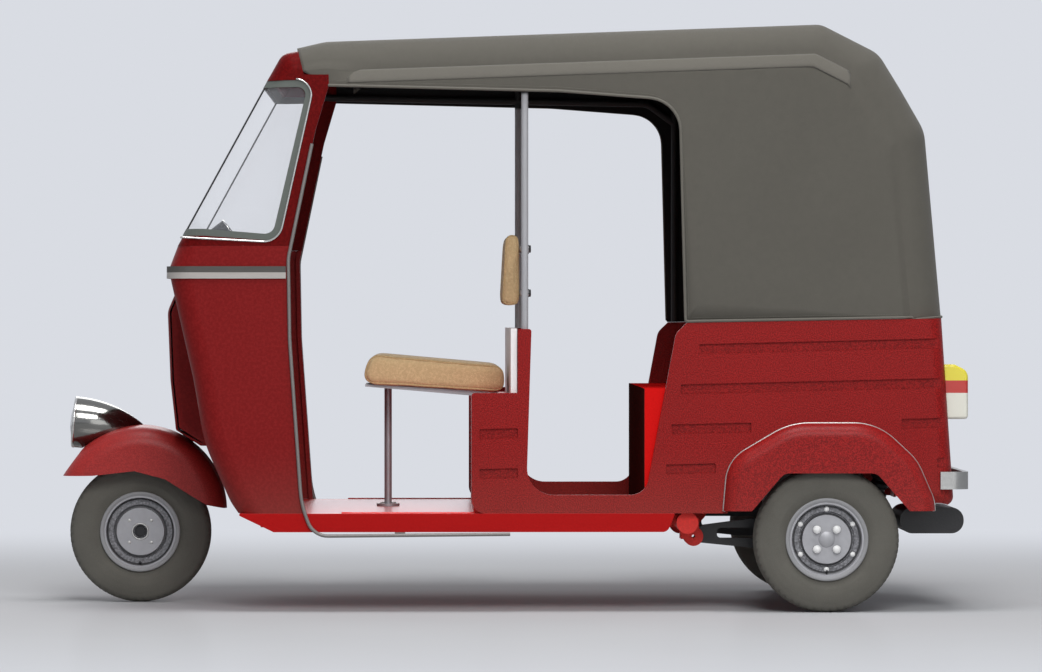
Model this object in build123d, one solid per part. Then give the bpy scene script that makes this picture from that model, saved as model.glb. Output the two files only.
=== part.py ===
import os
from math import atan2, cos, radians, sin, tan

from build123d import *

# Auto rickshaw with one steered front wheel and two driven rear wheels.
# Millimetres. The front points to -X, +Z is up, the ground is Z = 0.
# The origin lies on the ground under the middle of the vehicle's box.

# Stance
front_axle_x = -1088.0
rear_axle_x = 905.0
track = 1150.0
front_tip_x = -1316.0
rear_tip_x = 1316.0

# Wheels
tyre_radius = 209.0
tyre_width = 104.0
rim_flange_radius = 118.0
rim_seat_radius = 106.0
rim_width = 96.0
rim_wall = 5.0
bead_half = 41.6
side_radius = 184.0
tread_half = 38.0
hub_disc_radius = 70.0
hub_hole_radius = 21.0
drum_radius = 84.0
drum_width = 58.0
nut_radius = 11.0
nut_height = 9.0
nut_count = 4
nut_circle = 80.0
axle_radius = 12.0
running_clearance = 0.1
seat_gap = 0.3

# Steering geometry
head_angle = 25.0
head_x = -947.0
head_z = 488.0
stem_radius = 19.0
head_tube_wall = 6.0
head_tube_low = 45.0
head_tube_high = 300.0
crank_radius = 15.0
crank_y = 74.0

# Handlebar
bar_height = 500.0
bar_half_width = 275.0
bar_sweep = 62.0
bar_radius = 11.0
grip_radius = 17.0
grip_length = 115.0

# Mudguard and headlamp
guard_half_width = 112.0
guard_wall = 5.0
lamp_radius = 76.0
lamp_front_x = -1281.0
lamp_centre_z = 533.0
lamp_tilt = 5.0
lens_depth = 16.0

# Body
body_half_width = 600.0
panel_wall = 18.0
floor_top_z = 283.0
floor_wall = 6.0
sill_bottom_z = 230.0
cowl_wall = 14.0
cowl_corner = 62.0
glass_wall = 5.0
glass_corner = 56.0
gasket_band = 20.0
bead_radius = 5.0

# Fenders
fender_stand = 50.0
fender_half_width = body_half_width + fender_stand
fender_wall = 7.0
fender_shoulder = 40.0
wheelhouse_y = 478.0

# Canopy
canopy_setback = 2.0
canopy_half_width = body_half_width - canopy_setback
canopy_wall = 9.0
canopy_shoulder = 92.0
tube_radius = 10.0

# Seats
cushion_half_width = 222.0


def outline(rows):
    """A closed face in the XZ plane through (x, z, corner radius) rows, with a tangent arc at each corner."""
    points = [Vector(x, 0, z) for x, z, radius in rows]
    edges = []
    starts = []
    for index, (x, z, radius) in enumerate(rows):
        corner = points[index]
        back = (points[index - 1] - corner).normalized()
        ahead = (points[(index + 1) % len(rows)] - corner).normalized()
        half = radians(back.get_angle(ahead)) / 2
        if radius > 0:
            reach = radius / tan(half)
            middle = corner + (back + ahead).normalized() * (radius / sin(half) - radius)
            start = corner + back * reach
            end = corner + ahead * reach
            edges.append(ThreePointArc(start, middle, end))
        else:
            start = corner
            end = corner
        starts.append((start, end))
    for index, (start, end) in enumerate(starts):
        before = starts[index - 1][1]
        if (start - before).length > 0.001:
            edges.append(Line(before, start))
    return make_face(edges)


def across(face, low, high):
    """A face in the XZ plane carried sideways from Y = low to Y = high."""
    return extrude(Pos(0, low, 0) * face, amount=high - low, dir=(0, 1, 0))


def slab(rows, low, high):
    return across(outline(rows), low, high)


def sheet(points, wall, low, high):
    """A bent sheet: an open line of (x, z) points given a wall to its left, carried sideways."""
    line = [Vector(x, 0, z) for x, z in points]
    offsets = []
    for index, point in enumerate(line):
        before = line[max(index - 1, 0)]
        after = line[min(index + 1, len(line) - 1)]
        first = (point - before).normalized() if index > 0 else (after - point).normalized()
        second = (after - point).normalized() if index < len(line) - 1 else first
        left_one = Vector(-first.Z, 0, first.X)
        left_two = Vector(-second.Z, 0, second.X)
        middle = (left_one + left_two).normalized()
        offsets.append(point + middle * (wall / max(middle.dot(left_one), 0.3)))
    rows = [(p.X, p.Z, 0) for p in line] + [(p.X, p.Z, 0) for p in reversed(offsets)]
    return slab(rows, low, high)


def rod(start, end, radius):
    start = Vector(*start)
    end = Vector(*end)
    plane = Plane(origin=start, z_dir=end - start)
    return extrude(plane * Circle(radius), amount=(end - start).length)


def bar(points, radius, bend):
    """A round bar along straight runs joined by tangent arcs of one bend radius."""
    path = Wire(FilletPolyline(*points, radius=bend).edges())
    start = path.position_at(0)
    plane = Plane(origin=start, z_dir=path.tangent_at(0))
    return sweep(plane * Circle(radius), path=path)


def turned(rows):
    """A ring about the Y axis from a closed outline of (radius, y) points."""
    face = make_face(Polyline(*[(r, y, 0) for r, y in rows], close=True))
    return revolve(face, Axis.Y)


def mirrored(solid):
    return mirror(solid, about=Plane.XZ)


def box_between(low, high):
    size = [b - a for a, b in zip(low, high)]
    return Pos(*low) * Box(*size, align=(Align.MIN, Align.MIN, Align.MIN))


head_direction = Vector(sin(radians(head_angle)), 0, cos(radians(head_angle)))
head_back = Vector(cos(radians(head_angle)), 0, -sin(radians(head_angle)))


def on_head(along, back=0.0, side=0.0):
    """A point given along the steering axis, behind it, and to its side."""
    point = Vector(head_x, side, head_z) + head_direction * along + head_back * back
    return (point.X, point.Y, point.Z)


pieces = {}


# Wheels, each about its own centre with the outer side to -Y

def make_tyre():
    foot = rim_seat_radius + seat_gap
    side = tyre_width / 2
    rows = [(foot, bead_half), (side_radius, side), (tyre_radius, tread_half)]
    return turned(rows + [(radius, -y) for radius, y in reversed(rows)])


def make_rim(nuts, bore):
    side = rim_width / 2
    lean = (tyre_width / 2 - bead_half) / (side_radius - rim_seat_radius - seat_gap)
    seat_end = bead_half + seat_gap * 1.1
    lip_end = seat_end + lean * (rim_flange_radius - rim_seat_radius)
    inner = rim_seat_radius - rim_wall
    well = -side + 18
    disc_back = -side + 32
    drum_back = disc_back + drum_width
    hub_face = -side + 12
    rows = [
        (rim_flange_radius, -side), (rim_flange_radius, -lip_end), (rim_seat_radius, -seat_end),
        (rim_seat_radius, seat_end), (rim_flange_radius, lip_end), (rim_flange_radius, side),
        (inner, side), (inner, disc_back), (drum_radius, disc_back), (drum_radius, drum_back),
        (bore, drum_back), (bore, disc_back + 4), (hub_hole_radius, disc_back + 4), (hub_hole_radius,
        hub_face),
        (hub_disc_radius, hub_face), (hub_disc_radius + 2, well + 6), (hub_disc_radius + 8, well + 6),
        (hub_disc_radius + 10, well), (inner - 5, well), (inner - 1, -side + 6), (inner, -side),
    ]
    rim = turned(rows)
    for index in range(nuts):
        turn = 360 * (index + 0.5) / nuts
        place = Rot(0, turn, 0) * Pos(nut_circle / 2, hub_face, 0) * Rot(90, 0, 0)
        rim += place * extrude(RegularPolygon(nut_radius, 6), amount=nut_height)
    return rim


bore = axle_radius + running_clearance
front_wheel_place = Pos(front_axle_x, 0, tyre_radius)
pieces["front_tyre"] = front_wheel_place * make_tyre()
pieces["front_rim"] = front_wheel_place * make_rim(0, bore)
left_wheel_place = Pos(rear_axle_x, -track / 2, tyre_radius)
pieces["rear_tyre_left"] = left_wheel_place * make_tyre()
pieces["rear_rim_left"] = left_wheel_place * make_rim(nut_count, bore)

# Front fork: stem, crank beside the wheel, leading link and stub axle

drum_end = -rim_width / 2 + 32 + drum_width
axle_inner = -rim_width / 2 + 36
link_pivot = on_head(-232, 0, crank_y)
axle_eye = (front_axle_x, crank_y, tyre_radius)
damper_y = crank_y + 9
damper_low = (front_axle_x - 26, damper_y, tyre_radius + 22)
damper_top = on_head(-62, -76, damper_y)

stem = rod(on_head(-42), on_head(bar_height), stem_radius)
crank = bar([on_head(-20), on_head(-66), on_head(-90, 0, crank_y), link_pivot], crank_radius, 18)
link = rod(link_pivot, axle_eye, crank_radius)
toe = rod(axle_eye, (damper_low[0], crank_y, damper_low[2]), crank_radius - 2)
pivot_boss = rod((link_pivot[0], crank_y - 17, link_pivot[2]), (link_pivot[0], crank_y + 17,
    link_pivot[2]), 19)
axle_boss = rod((front_axle_x, drum_end + 3, tyre_radius), (front_axle_x, crank_y + 17, tyre_radius), 20)
stub = rod((front_axle_x, axle_inner - 16, tyre_radius), (front_axle_x, crank_y, tyre_radius), axle_radius)
axle_nut = rod((front_axle_x, axle_inner - 12, tyre_radius), (front_axle_x, axle_inner - seat_gap,
    tyre_radius), 17)
strut_arm = rod(on_head(-104, 0, crank_y), damper_top, 9)
pieces["steering_fork"] = stem + crank + link + toe + pivot_boss + axle_boss + stub + axle_nut + strut_arm


def make_damper(low, top, width, coils, radius):
    """A spring and damper: plain eyes at both ends and a coil drawn as a row of rounded rings."""
    low = Vector(*low)
    top = Vector(*top)
    length = (top - low).length
    rod_radius = radius * 0.35
    pitch = (length - 2 * width) / coils
    rows = [(0, width * 0.6), (rod_radius, width * 0.6), (rod_radius, width)]
    for index in range(coils):
        z = width + index * pitch
        rows += [(radius * 0.72, z + pitch * 0.08), (radius, z + pitch * 0.4)]
        rows += [(radius, z + pitch * 0.6), (radius * 0.72, z + pitch * 0.92)]
    rows += [(rod_radius, length - width), (rod_radius, length - width * 0.6), (0, length - width * 0.6)]
    face = make_face(Polyline(*[(r, 0, z) for r, z in rows], close=True))
    body = revolve(face, Axis.Z)
    place = Location(Plane(origin=low, x_dir=(0, 1, 0), z_dir=top - low))
    return place * body


eye = 26
front_damper = make_damper(damper_low, damper_top, eye, 7, 21)
low_eye = rod((damper_low[0], damper_y - 12, damper_low[2]), (damper_low[0], damper_y + 14,
    damper_low[2]), 17)
top_eye = rod((damper_top[0], damper_y - 12, damper_top[2]), (damper_top[0], damper_y + 14,
    damper_top[2]), 17)
pieces["front_damper"] = front_damper + low_eye + top_eye - pieces["steering_fork"]

# Handlebar: a clamp on the stem and a swept bar with thick grips

left_end = on_head(bar_height - 16, bar_sweep, -bar_half_width)
right_end = on_head(bar_height - 16, bar_sweep, bar_half_width)
left_bend = on_head(bar_height - 16, 0, -bar_half_width * 0.45)
right_bend = on_head(bar_height - 16, 0, bar_half_width * 0.45)
handlebar = bar([left_end, left_bend, right_bend, right_end], bar_radius, 60)
for bend, end in ((left_bend, left_end), (right_bend, right_end)):
    reach = (Vector(*end) - Vector(*bend)).normalized() * grip_length
    handlebar += rod(tuple(Vector(*end) - reach), end, grip_radius)
handlebar += rod(on_head(bar_height - 52), on_head(bar_height + 34), 40)
pieces["handlebar"] = handlebar - pieces["steering_fork"]

# Mudguard: a crowned section turned about one centre over the wheel, cut to its side outline

guard_x = front_axle_x + 1
guard_z = tyre_radius + 62
guard_crown = 256.0


def guard_body(half, crown):
    rows = [(90, -half), (crown - 12, -half), (crown, 0), (crown - 12, half), (90, half)]
    corners = [Vector(r, y, 0) for r, y in rows]
    line = FilletPolyline(*corners, radius=[0.5, 58, 300, 58, 0.5], close=True)
    return Pos(guard_x, 0, guard_z) * revolve(make_face(line), Axis.Y)


guard_lower = [
    (front_tip_x, 375), (front_tip_x + 70, 470), (front_tip_x + 80, 620), (-780, 620), (-800,
    300), (-828, 277),
    (-889, 290), (-932, 316), (-1011, 366), (-1102, 390), (-1225, 376),
]
guard_cut = slab([(x, z, 0) for x, z in guard_lower], -300, 300)
guard_outer = guard_body(guard_half_width, guard_crown)
guard_inner = guard_body(guard_half_width - guard_wall, guard_crown - guard_wall)
front_mudguard = (guard_outer - guard_inner) & guard_cut
stem_hole = rod(on_head(-120), on_head(60), stem_radius + seat_gap)
pieces["front_mudguard"] = front_mudguard - stem_hole - pieces["steering_fork"]

# Headlamp: a teardrop shell that sits on the mudguard's crown, with a bowl behind a domed lens

lamp_length = -1072 - lamp_front_x
lamp_outline = [
    Line((0, 0), (0, lamp_radius)),
    Bezier((0, lamp_radius), (lamp_length * 0.45, lamp_radius), (lamp_length * 0.8, lamp_radius * 0.5),
        (lamp_length, 3)),
    Line((lamp_length, 3), (lamp_length, 0)),
    Line((lamp_length, 0), (0, 0)),
]
lamp_body = revolve(make_face(lamp_outline), Axis.X)


def dome(base_x, base_radius, tip_x):
    """A filled round cap whose face is part of a ball, from its rim circle to its tip on the axis."""
    rise = tip_x - base_x
    ball = (base_radius ** 2 + rise ** 2) / (2 * abs(rise))
    turn = atan2(base_radius, ball - abs(rise)) / 2
    sign = 1 if rise > 0 else -1
    middle = (tip_x - sign * (ball - ball * cos(turn)), ball * sin(turn))
    edges = [
        Line((base_x, 0), (base_x, base_radius)),
        ThreePointArc((base_x, base_radius), middle, (tip_x, 0)),
        Line((tip_x, 0), (base_x, 0)),
    ]
    return revolve(make_face(edges), Axis.X)


lamp_rim = Pos(-1, 0, 0) * Rot(0, 90, 0) * Cylinder(lamp_radius - 5, 5, align=(Align.CENTER,
    Align.CENTER, Align.MIN))
lamp_bowl = lamp_rim + dome(4, lamp_radius - 5.5, 50)
lens_plate = Rot(0, 90, 0) * Cylinder(lamp_radius - 6, 3.7, align=(Align.CENTER, Align.CENTER, Align.MIN))
lens = lens_plate + dome(0, lamp_radius - 6, -lens_depth)
lamp_place = Pos(lamp_front_x, 0, lamp_centre_z) * Rot(0, lamp_tilt, 0)
pieces["headlamp_shell"] = lamp_place * (lamp_body - lamp_bowl) - guard_outer
pieces["headlamp_lens"] = lamp_place * lens


# Chassis: two box rails, cross members, head tube with its backbone, and the rear pivot tube

rail_y = 300.0
rail_width = 60.0
rail_height = 44.0
rail_top = floor_top_z - floor_wall
pivot_x = 508.0
pivot_z = 255.0
pivot_radius = 31.0
pivot_setback = 20.0
pivot_half = body_half_width - pivot_setback
arm_y = 430.0
arm_width = 36.0
rear_rail_z = 560.0
rear_rail_width = 30.0
rear_rail_height = 40.0

head_tube_radius = stem_radius + running_clearance + head_tube_wall
chassis = rod(on_head(head_tube_low), on_head(head_tube_high), head_tube_radius)
chassis += bar([on_head(210, 8), (-772, 0, 430), (-700, 0, rail_top - rail_height / 2)], 24, 160)
for side in (-1, 1):
    y = side * rail_y
    chassis += box_between((-722, y - rail_width / 2, rail_top - rail_height), (pivot_x, y
        + rail_width / 2, rail_top))
    rows = [
        (pivot_x - 20, pivot_z - 18, 0), (560, pivot_z - 18, 60), (700, rear_rail_z - rear_rail_height, 60),
        (1241, rear_rail_z - rear_rail_height, 0), (1238.5, rear_rail_z, 0), (680, rear_rail_z, 60),
        (540, pivot_z + 26, 60), (pivot_x - 20, pivot_z + 26, 0),
    ]
    chassis += slab(rows, y - rear_rail_width / 2, y + rear_rail_width / 2)
for x in (-702.0, -330.0, 40.0, 420.0):
    low = (x - 22, -rail_y, rail_top - rail_height + 3)
    chassis += box_between(low, (x + 22, rail_y, rail_top - 3))
strut_beam_low = rear_rail_z - rear_rail_height + 4
chassis += box_between((1080, -arm_y - 25, strut_beam_low), (1116, arm_y + 25, rear_rail_z - 4))
chassis += rod((pivot_x, -pivot_half, pivot_z), (pivot_x, pivot_half, pivot_z), pivot_radius)
arm_pivot_x = 531.0
arm_pivot_z = 212.0
arm_pivot_radius = 28.0
arm_pin_radius = 9.0
for side in (-1, 1):
    for y in (side * (arm_y - 32), side * (arm_y + 32)):
        low = (pivot_x - 14, y - 7, arm_pivot_z - 8)
        chassis += box_between(low, (arm_pivot_x + 16, y + 7, pivot_z + 10))
        chassis += rod((arm_pivot_x, y - 7, arm_pivot_z), (arm_pivot_x, y + 7, arm_pivot_z), arm_pivot_radius)
    y = side * arm_y
    chassis += rod((arm_pivot_x, y - 40, arm_pivot_z), (arm_pivot_x, y + 40, arm_pivot_z), arm_pin_radius)
    chassis -= rod((arm_pivot_x, y - 60, arm_pivot_z), (arm_pivot_x, y + 60, arm_pivot_z), arm_pin_radius - 4)
pieces["chassis_frame"] = chassis - rod(on_head(head_tube_low - 5), on_head(head_tube_high + 5),
    stem_radius + running_clearance)

# Floor pan: a flat sheet with folded sills

floor_front_x = -774.0
floor_rear_x = 470.0
sill_front_x = -676.0
floor = slab(
    [(floor_front_x, floor_top_z - floor_wall, 0), (floor_front_x, floor_top_z, 0), (floor_rear_x,
    floor_top_z, 0),
     (floor_rear_x, floor_top_z - floor_wall, 0)],
    -body_half_width, body_half_width,
)
sill_rows = [
    (floor_front_x, floor_top_z - floor_wall, 0), (sill_front_x, sill_bottom_z, 0),
    (floor_rear_x - 20, sill_bottom_z, 20), (floor_rear_x, floor_top_z - floor_wall, 0),
]
floor += slab(sill_rows, -body_half_width, -body_half_width + floor_wall)
floor += slab(sill_rows, body_half_width - floor_wall, body_half_width)
floor += sheet([(floor_front_x, rail_top), (sill_front_x, sill_bottom_z)], floor_wall, -body_half_width,
    body_half_width)
pivot_hole = rod((pivot_x, -700, pivot_z), (pivot_x, 700, pivot_z), pivot_radius + seat_gap)
pieces["floor_pan"] = floor - pivot_hole - chassis

# Front cowl: one pressed shell with rounded front corners, open behind and below

seam_low_x = -591.0
seam_middle = (-626.0, 779.0)
seam_high = (-631.0, 1018.0)
cowl_bottom = floor_top_z + seat_gap
cowl_top = 1048.0
cowl_front_x = -952.1
cowl_rear_x = -624.9
front_rows = [
    (-779, cowl_bottom, 0), (-800, 313, 150), (-876, 482, 400), (-907, 665, 500), (-972, 951,
    200), (-976, 985, 40),
    (cowl_front_x, cowl_top, 0),
]
rear_rows = [(cowl_rear_x, cowl_top, 0), (*seam_high, 100), (*seam_middle, 400), (seam_low_x, cowl_bottom, 0)]


def front_edges(solid, half, limit_x):
    """The edges that run up the front corners at one half width, ahead of a limit."""
    found = []
    for edge in solid.edges():
        middle = edge.position_at(0.5)
        flat = abs(abs(edge.position_at(0).Y) - half) < 0.01 and abs(abs(edge.position_at(1).Y) - half) < 0.01
        if flat and abs(abs(middle.Y) - half) < 0.01 and middle.X < limit_x(middle.Z):
            found.append(edge)
    return found


def cowl_solid(half, corner, shift, stretch):
    front = [(x + shift, z, r) for x, z, r in front_rows]
    rear = [(x + stretch, z, r) for x, z, r in rear_rows]
    if stretch:
        front[0] = (front[0][0] + 6, cowl_bottom - 10, 0)
        front[-1] = (front[-1][0] + 4, cowl_top + 10, 0)
        rear[0] = (rear[0][0], cowl_top + 10, 0)
        rear[-1] = (rear[-1][0], cowl_bottom - 10, 0)
    solid = slab(front + rear, -half, half)
    chain = front_edges(solid, half, lambda z: -700 if z > 400 else -740)
    ends = [e for e in chain if abs(e.tangent_at(0.5).Z) > 0.3]
    return fillet(ends, corner)


cowl_outer = cowl_solid(body_half_width, cowl_corner, 0, 0)
cowl_inner = cowl_solid(body_half_width - cowl_wall, cowl_corner - cowl_wall, cowl_wall + 0.6, 60)
front_cowl = cowl_outer - cowl_inner
jamb_depth = 34.0
for low, high in ((-body_half_width + 1, -body_half_width + jamb_depth), (body_half_width - jamb_depth,
        body_half_width - 1)):
    jamb = [(x - 12, z, r) for x, z, r in reversed(rear_rows)]
    front_cowl += slab(list(rear_rows) + jamb, low, high)
column_hole = rod(on_head(0), on_head(head_tube_high + 60), head_tube_radius + 6)
pieces["front_cowl"] = front_cowl - column_hole

# Nose cover: a raised centre panel, hollow, with a hole for the head tube below

nose_half_width = 178.0
nose_corner = 30.0
nose_rows = [
    (-966, 944, 0), (-1001, 862, 60), (-993, 657, 300), (-977, 512, 10), (-905, 466, 0), (-860, 466,
    0), (-860, 944, 0),
]
nose_outer = slab(nose_rows, -nose_half_width, nose_half_width)
nose_edges = front_edges(nose_outer, nose_half_width, lambda z: -920)
nose_outer = fillet([e for e in nose_edges if abs(e.tangent_at(0.5).Z) > 0.5
    and e.position_at(0.5).Z > 500], nose_corner)
nose_inner = slab([(x + 7, z - 6 if z > 900 else z + 7 if z < 500 else z, 0) for x, z, r in nose_rows],
                  -nose_half_width + 6, nose_half_width - 6)
cowl_skin_cut = slab([(x - seat_gap, z, r) for x, z, r in front_rows] + [(-700, cowl_top, 0), (-700,
    cowl_bottom, 0)],
                     -body_half_width, body_half_width)
nose_cover = nose_outer - nose_inner - cowl_skin_cut
pieces["nose_cover"] = nose_cover - rod(on_head(-60), on_head(head_tube_high), head_tube_radius + 4)


# Canopy: one shell with a rounded shoulder, open below, in front and at both doors

roof_rows = [(-611, 1622, 0), (-530, 1642, 200), (902, 1694, 70), (1072, 1614, 90), (1204, 1385, 200),
    (1242, 841.6, 0)]
door_rows = [(502, 828.6, 0), (486, 1462, 96), (144, 1488, 400), (-517.4, 1504, 0), (-517.4, 1538, 0),
    (-587, 1538, 0)]


def canopy_solid(inset):
    half = canopy_half_width - inset
    if inset:
        rows = [(-700, 1600 - inset, 0), (-530, 1642 - inset, 200), (902 - 2, 1694 - inset, 62),
                (1072 - 6, 1614 - inset + 1, 82), (1204 - inset, 1385 - 3, 190), (1246 - inset, 780,
                0), (-700, 780, 0)]
    else:
        rows = roof_rows + door_rows
    solid = slab(rows, -half, half)
    chain = [e for e in front_edges(solid, half, lambda z: 2000)]
    roof = []
    for edge in chain:
        middle = edge.position_at(0.5)
        above = middle.Z > 1560 or (middle.X > 1000 and middle.Z > 790)
        if above and not (abs(edge.tangent_at(0.5).Z) > 0.9 and middle.X < -500):
            roof.append(edge)
    return fillet(roof, canopy_shoulder - inset)


pieces["canopy"] = canopy_solid(0) - canopy_solid(canopy_wall)

# Windscreen frame: pillars and header in one shell, with the wrap-around opening cut out

frame_wall = 14.0
glass_low = (-935.0, 1085.0)
glass_high = (-700.0, 1514.0)
pane_high = (-559.3, 1523.0)
pane_low = (-658.5, 1061.0)
pane_front_z = 1077.0
header_top_x = -520.0
header_top_z = 1622.0
frame_rows = [
    (cowl_front_x, cowl_top + seat_gap, 0), (-692, 1528.6, 60), (-652, 1599, 40), (header_top_x,
    header_top_z, 0),
    (-518, 1508, 25), (-557, 1376, 200), (cowl_rear_x, cowl_top + seat_gap, 0),
]


def frame_solid(half, corner, wall):
    rows = list(frame_rows)
    if wall:
        rows = [
            (cowl_front_x + 4, cowl_top - 20, 0), (-692 + wall * 1.14, 1528.6 - 8, 50), (-652 + 10,
            1599 - wall, 30),
            (-440, header_top_z - wall + 15, 0), (-440, cowl_top - 20, 0),
        ]
    solid = slab(rows, -half, half)
    chain = front_edges(solid, half, lambda z: -530)
    ends = [e for e in chain if e.position_at(0.5).Z > cowl_top + 5 and abs(e.position_at(0.5).X + 532) > 20]
    ends = [e for e in ends if e.position_at(0.5).X < -566 or e.position_at(0.5).Z > 1590]
    ends = [e for e in ends if not (e.position_at(0.5).X > -640 and e.position_at(0.5).Z < 1590)]
    return fillet(ends, corner)


frame_outer = frame_solid(body_half_width, glass_corner, 0)
frame_inner = frame_solid(body_half_width - frame_wall, glass_corner - frame_wall, frame_wall)
opening_rows = [
    (glass_low[0] - 90, pane_front_z, 0), (glass_high[0] - 90, glass_high[1] + 6, 0),
    (glass_high[0] - 20, glass_high[1] + 6, 0), (*pane_high, 42), (*pane_low, 50),
    (glass_low[0] + 60, pane_front_z, 0),
]
opening = slab(opening_rows, -body_half_width - 20, body_half_width + 20)
under_canopy = slab(
    [(-615.4, 1700, 0), (-615.4, 1640, 0), (-589.6, 1537.7, 0), (-500, 1537.7, 0), (-500, 1700, 0)],
    -body_half_width - 20, body_half_width + 20,
)
under_canopy -= canopy_solid(canopy_wall + 1.5)
pieces["windscreen_frame"] = frame_outer - frame_inner - opening - under_canopy

# Glass and its rubber gasket: one wrap-around sheet, framed at the top, bottom and rear edges


def wrap(half, corner, shift, rear):
    rows = [
        (glass_low[0] - 30 + shift, glass_low[1] - 54.8, 0), (glass_high[0] + 20 + shift, glass_high[1]
        + 36.5, 0),
        (rear, glass_high[1] + 36.5, 0), (rear, glass_low[1] - 54.8, 0),
    ]
    solid = slab(rows, -half, half)
    chain = [e for e in front_edges(solid, half, lambda z: -640) if abs(e.tangent_at(0.5).Z) > 0.3]
    chain = [e for e in chain if e.position_at(0.5).X < -700]
    return fillet(chain, corner)


def inset(rows, amount):
    """The same side outline drawn in at its top, rear and bottom, open to the front."""
    (x0, z0, r0), (x1, z1, r1), (x2, z2, r2), (x3, z3, r3), (x4, z4, r4), (x5, z5, r5) = rows
    return [
        (x0, z0 + amount, r0), (x1, z1 - amount, r1), (x2, z2 - amount, r2), (x3 - amount, z3 - amount,
        max(r3 - amount, 12)),
        (x4 - amount, z4 + amount, max(r4 - amount, 12)), (x5, z5 + amount, r5),
    ]


glass_face = body_half_width - 6
glass_sheet = wrap(glass_face, glass_corner, 4, -500) - wrap(glass_face - glass_wall,
    glass_corner - glass_wall, 4 + glass_wall, -400)
gasket_sheet = wrap(glass_face + 4, glass_corner + 2, 0, -500) - wrap(glass_face - 9, glass_corner - 9,
    13, -400)
seal_outer = slab(inset(opening_rows, seat_gap), -body_half_width - 20, body_half_width + 20)
seal_inner = slab(inset(opening_rows, gasket_band), -body_half_width - 20, body_half_width + 20)
glass_edge = slab(inset(opening_rows, gasket_band / 2), -body_half_width - 20, body_half_width + 20)
glass = glass_sheet & glass_edge
pieces["windscreen_glass"] = glass
pieces["windscreen_gasket"] = (gasket_sheet & seal_outer) - seal_inner - glass

# Waist trim: a raised band round the nose and sides below the glass

trim_low = 955.0
trim_high = 990.0
trim_stand = 6.0
band_outer = slab([(-984, trim_low, 0), (-984, trim_high, 0), (-641, trim_high, 0), (-641, trim_low, 0)],
                  -body_half_width - trim_stand, body_half_width + trim_stand)
trim_chain = [e for e in band_outer.edges() if abs(e.tangent_at(0.5).Z) > 0.9 and e.position_at(0.5).X < -976]
band_outer = fillet(trim_chain, cowl_corner + trim_stand)
pieces["waist_trim"] = band_outer - cowl_solid(body_half_width + seat_gap, cowl_corner, -seat_gap, 0)

# Dashboard: a folded shelf below the glass with a round instrument pod

dash = slab(
    [(-975, 1046.5, 0), (-800, 1036, 18), (-786, 983, 6), (-800, 981, 6), (-813, 1022, 10), (-975, 1033, 0)],
    -body_half_width, body_half_width,
)
dash &= cowl_solid(body_half_width - cowl_wall - seat_gap, cowl_corner - cowl_wall, cowl_wall + 0.6
    + seat_gap, 60)
pod_low = Vector(-880, 0, 1040)
pod_axis = Vector(0.72, 0, 0.55).normalized()
pod = rod(tuple(pod_low), tuple(pod_low + pod_axis * 82), 52)
pieces["dashboard"] = dash + pod - rod(tuple(pod_low + pod_axis * 76), tuple(pod_low + pod_axis * 90), 45)

# Entry beads: a round bead down each door edge, turned under the sill

bead_y = body_half_width + bead_radius + seat_gap
bead_points = [(-566, 1340), (-634, 1012), (-630, 779), (-596, 300), (-560, 219), (0, 224)]
bead_line = [(x, -bead_y, z) for x, z in bead_points]
left_bead = bar(bead_line, bead_radius, [120, 400, 300, 60])
bead_foot = box_between((-330, -bead_y, 224), (-300, -body_half_width + 20, 229.7))
left_bead += bead_foot
pieces["entry_beads"] = Compound(children=[left_bead, mirrored(left_bead)])

# Driver's seat: base box between the sides, front post, cushion and backrest

base_front_x = -104.0
base_rear_x = 16.0
base_top_z = 614.0
base_wall = 8.0
inner_half = body_half_width - panel_wall - seat_gap
post_x = -354.0
post_radius = 11.0
cushion_rows = [(-440, 650, 30), (-412, 738, 30), (-6, 700, 26), (-4, 622.5, 20)]
base = slab([(base_front_x, floor_top_z + seat_gap, 0), (base_front_x, base_top_z, 8), (base_rear_x,
    base_top_z, 8),
             (base_rear_x, floor_top_z + seat_gap, 0)], -inner_half, inner_half)
base -= slab([(base_front_x + base_wall, floor_top_z - 5, 0), (base_front_x + base_wall,
    base_top_z - base_wall, 0),
              (base_rear_x - base_wall, base_top_z - base_wall, 0), (base_rear_x - base_wall,
              floor_top_z - 5, 0)],
             -inner_half + base_wall, inner_half - base_wall)
cushion = slab(cushion_rows, -cushion_half_width, cushion_half_width)
cushion = fillet([e for e in cushion.edges() if abs(abs(e.position_at(0.5).Y) - cushion_half_width) < 0.01], 16)
post_top = 641.0
post = rod((post_x, 0, floor_top_z + seat_gap), (post_x, 0, post_top), post_radius)
post += rod((post_x, 0, floor_top_z + seat_gap), (post_x, 0, floor_top_z + 8), 34)
seat_board = slab([(-420, 640.5, 0), (-420, 647.4, 0), (-30, 623.8, 0), (-30, base_top_z + seat_gap, 0),
    (-112, base_top_z + seat_gap, 0)],
                  -cushion_half_width + 30, cushion_half_width - 30)
pieces["driver_seat_base"] = base
pieces["driver_seat_post"] = post + seat_board
pieces["driver_cushion"] = cushion - slab(
    [(-460, 650.5, 0), (-460, 560, 0), (20, 560, 0), (20, 620.8, 0)], -400, 400)

upright_x = 42.0
bolt_rows = (1045.0, 915.0)
back_rows = [(-18, 880, 14), (-6, 1088, 16), (30, 1086, 14), (31, 878, 14)]
backrest = slab(back_rows, -cushion_half_width, cushion_half_width)
pieces["driver_backrest"] = fillet(
    [e for e in backrest.edges() if abs(abs(e.position_at(0.5).Y) - cushion_half_width) < 0.01], 10)

# Partition behind the driver

partition_top_z = 812.0
pieces["partition_panel"] = box_between(
    (2, -inner_half, base_top_z + seat_gap), (2 + panel_wall, inner_half, partition_top_z))


# Rear body sides: panel with rounded rear return, door cut, wheel arch and pressed grooves

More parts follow.
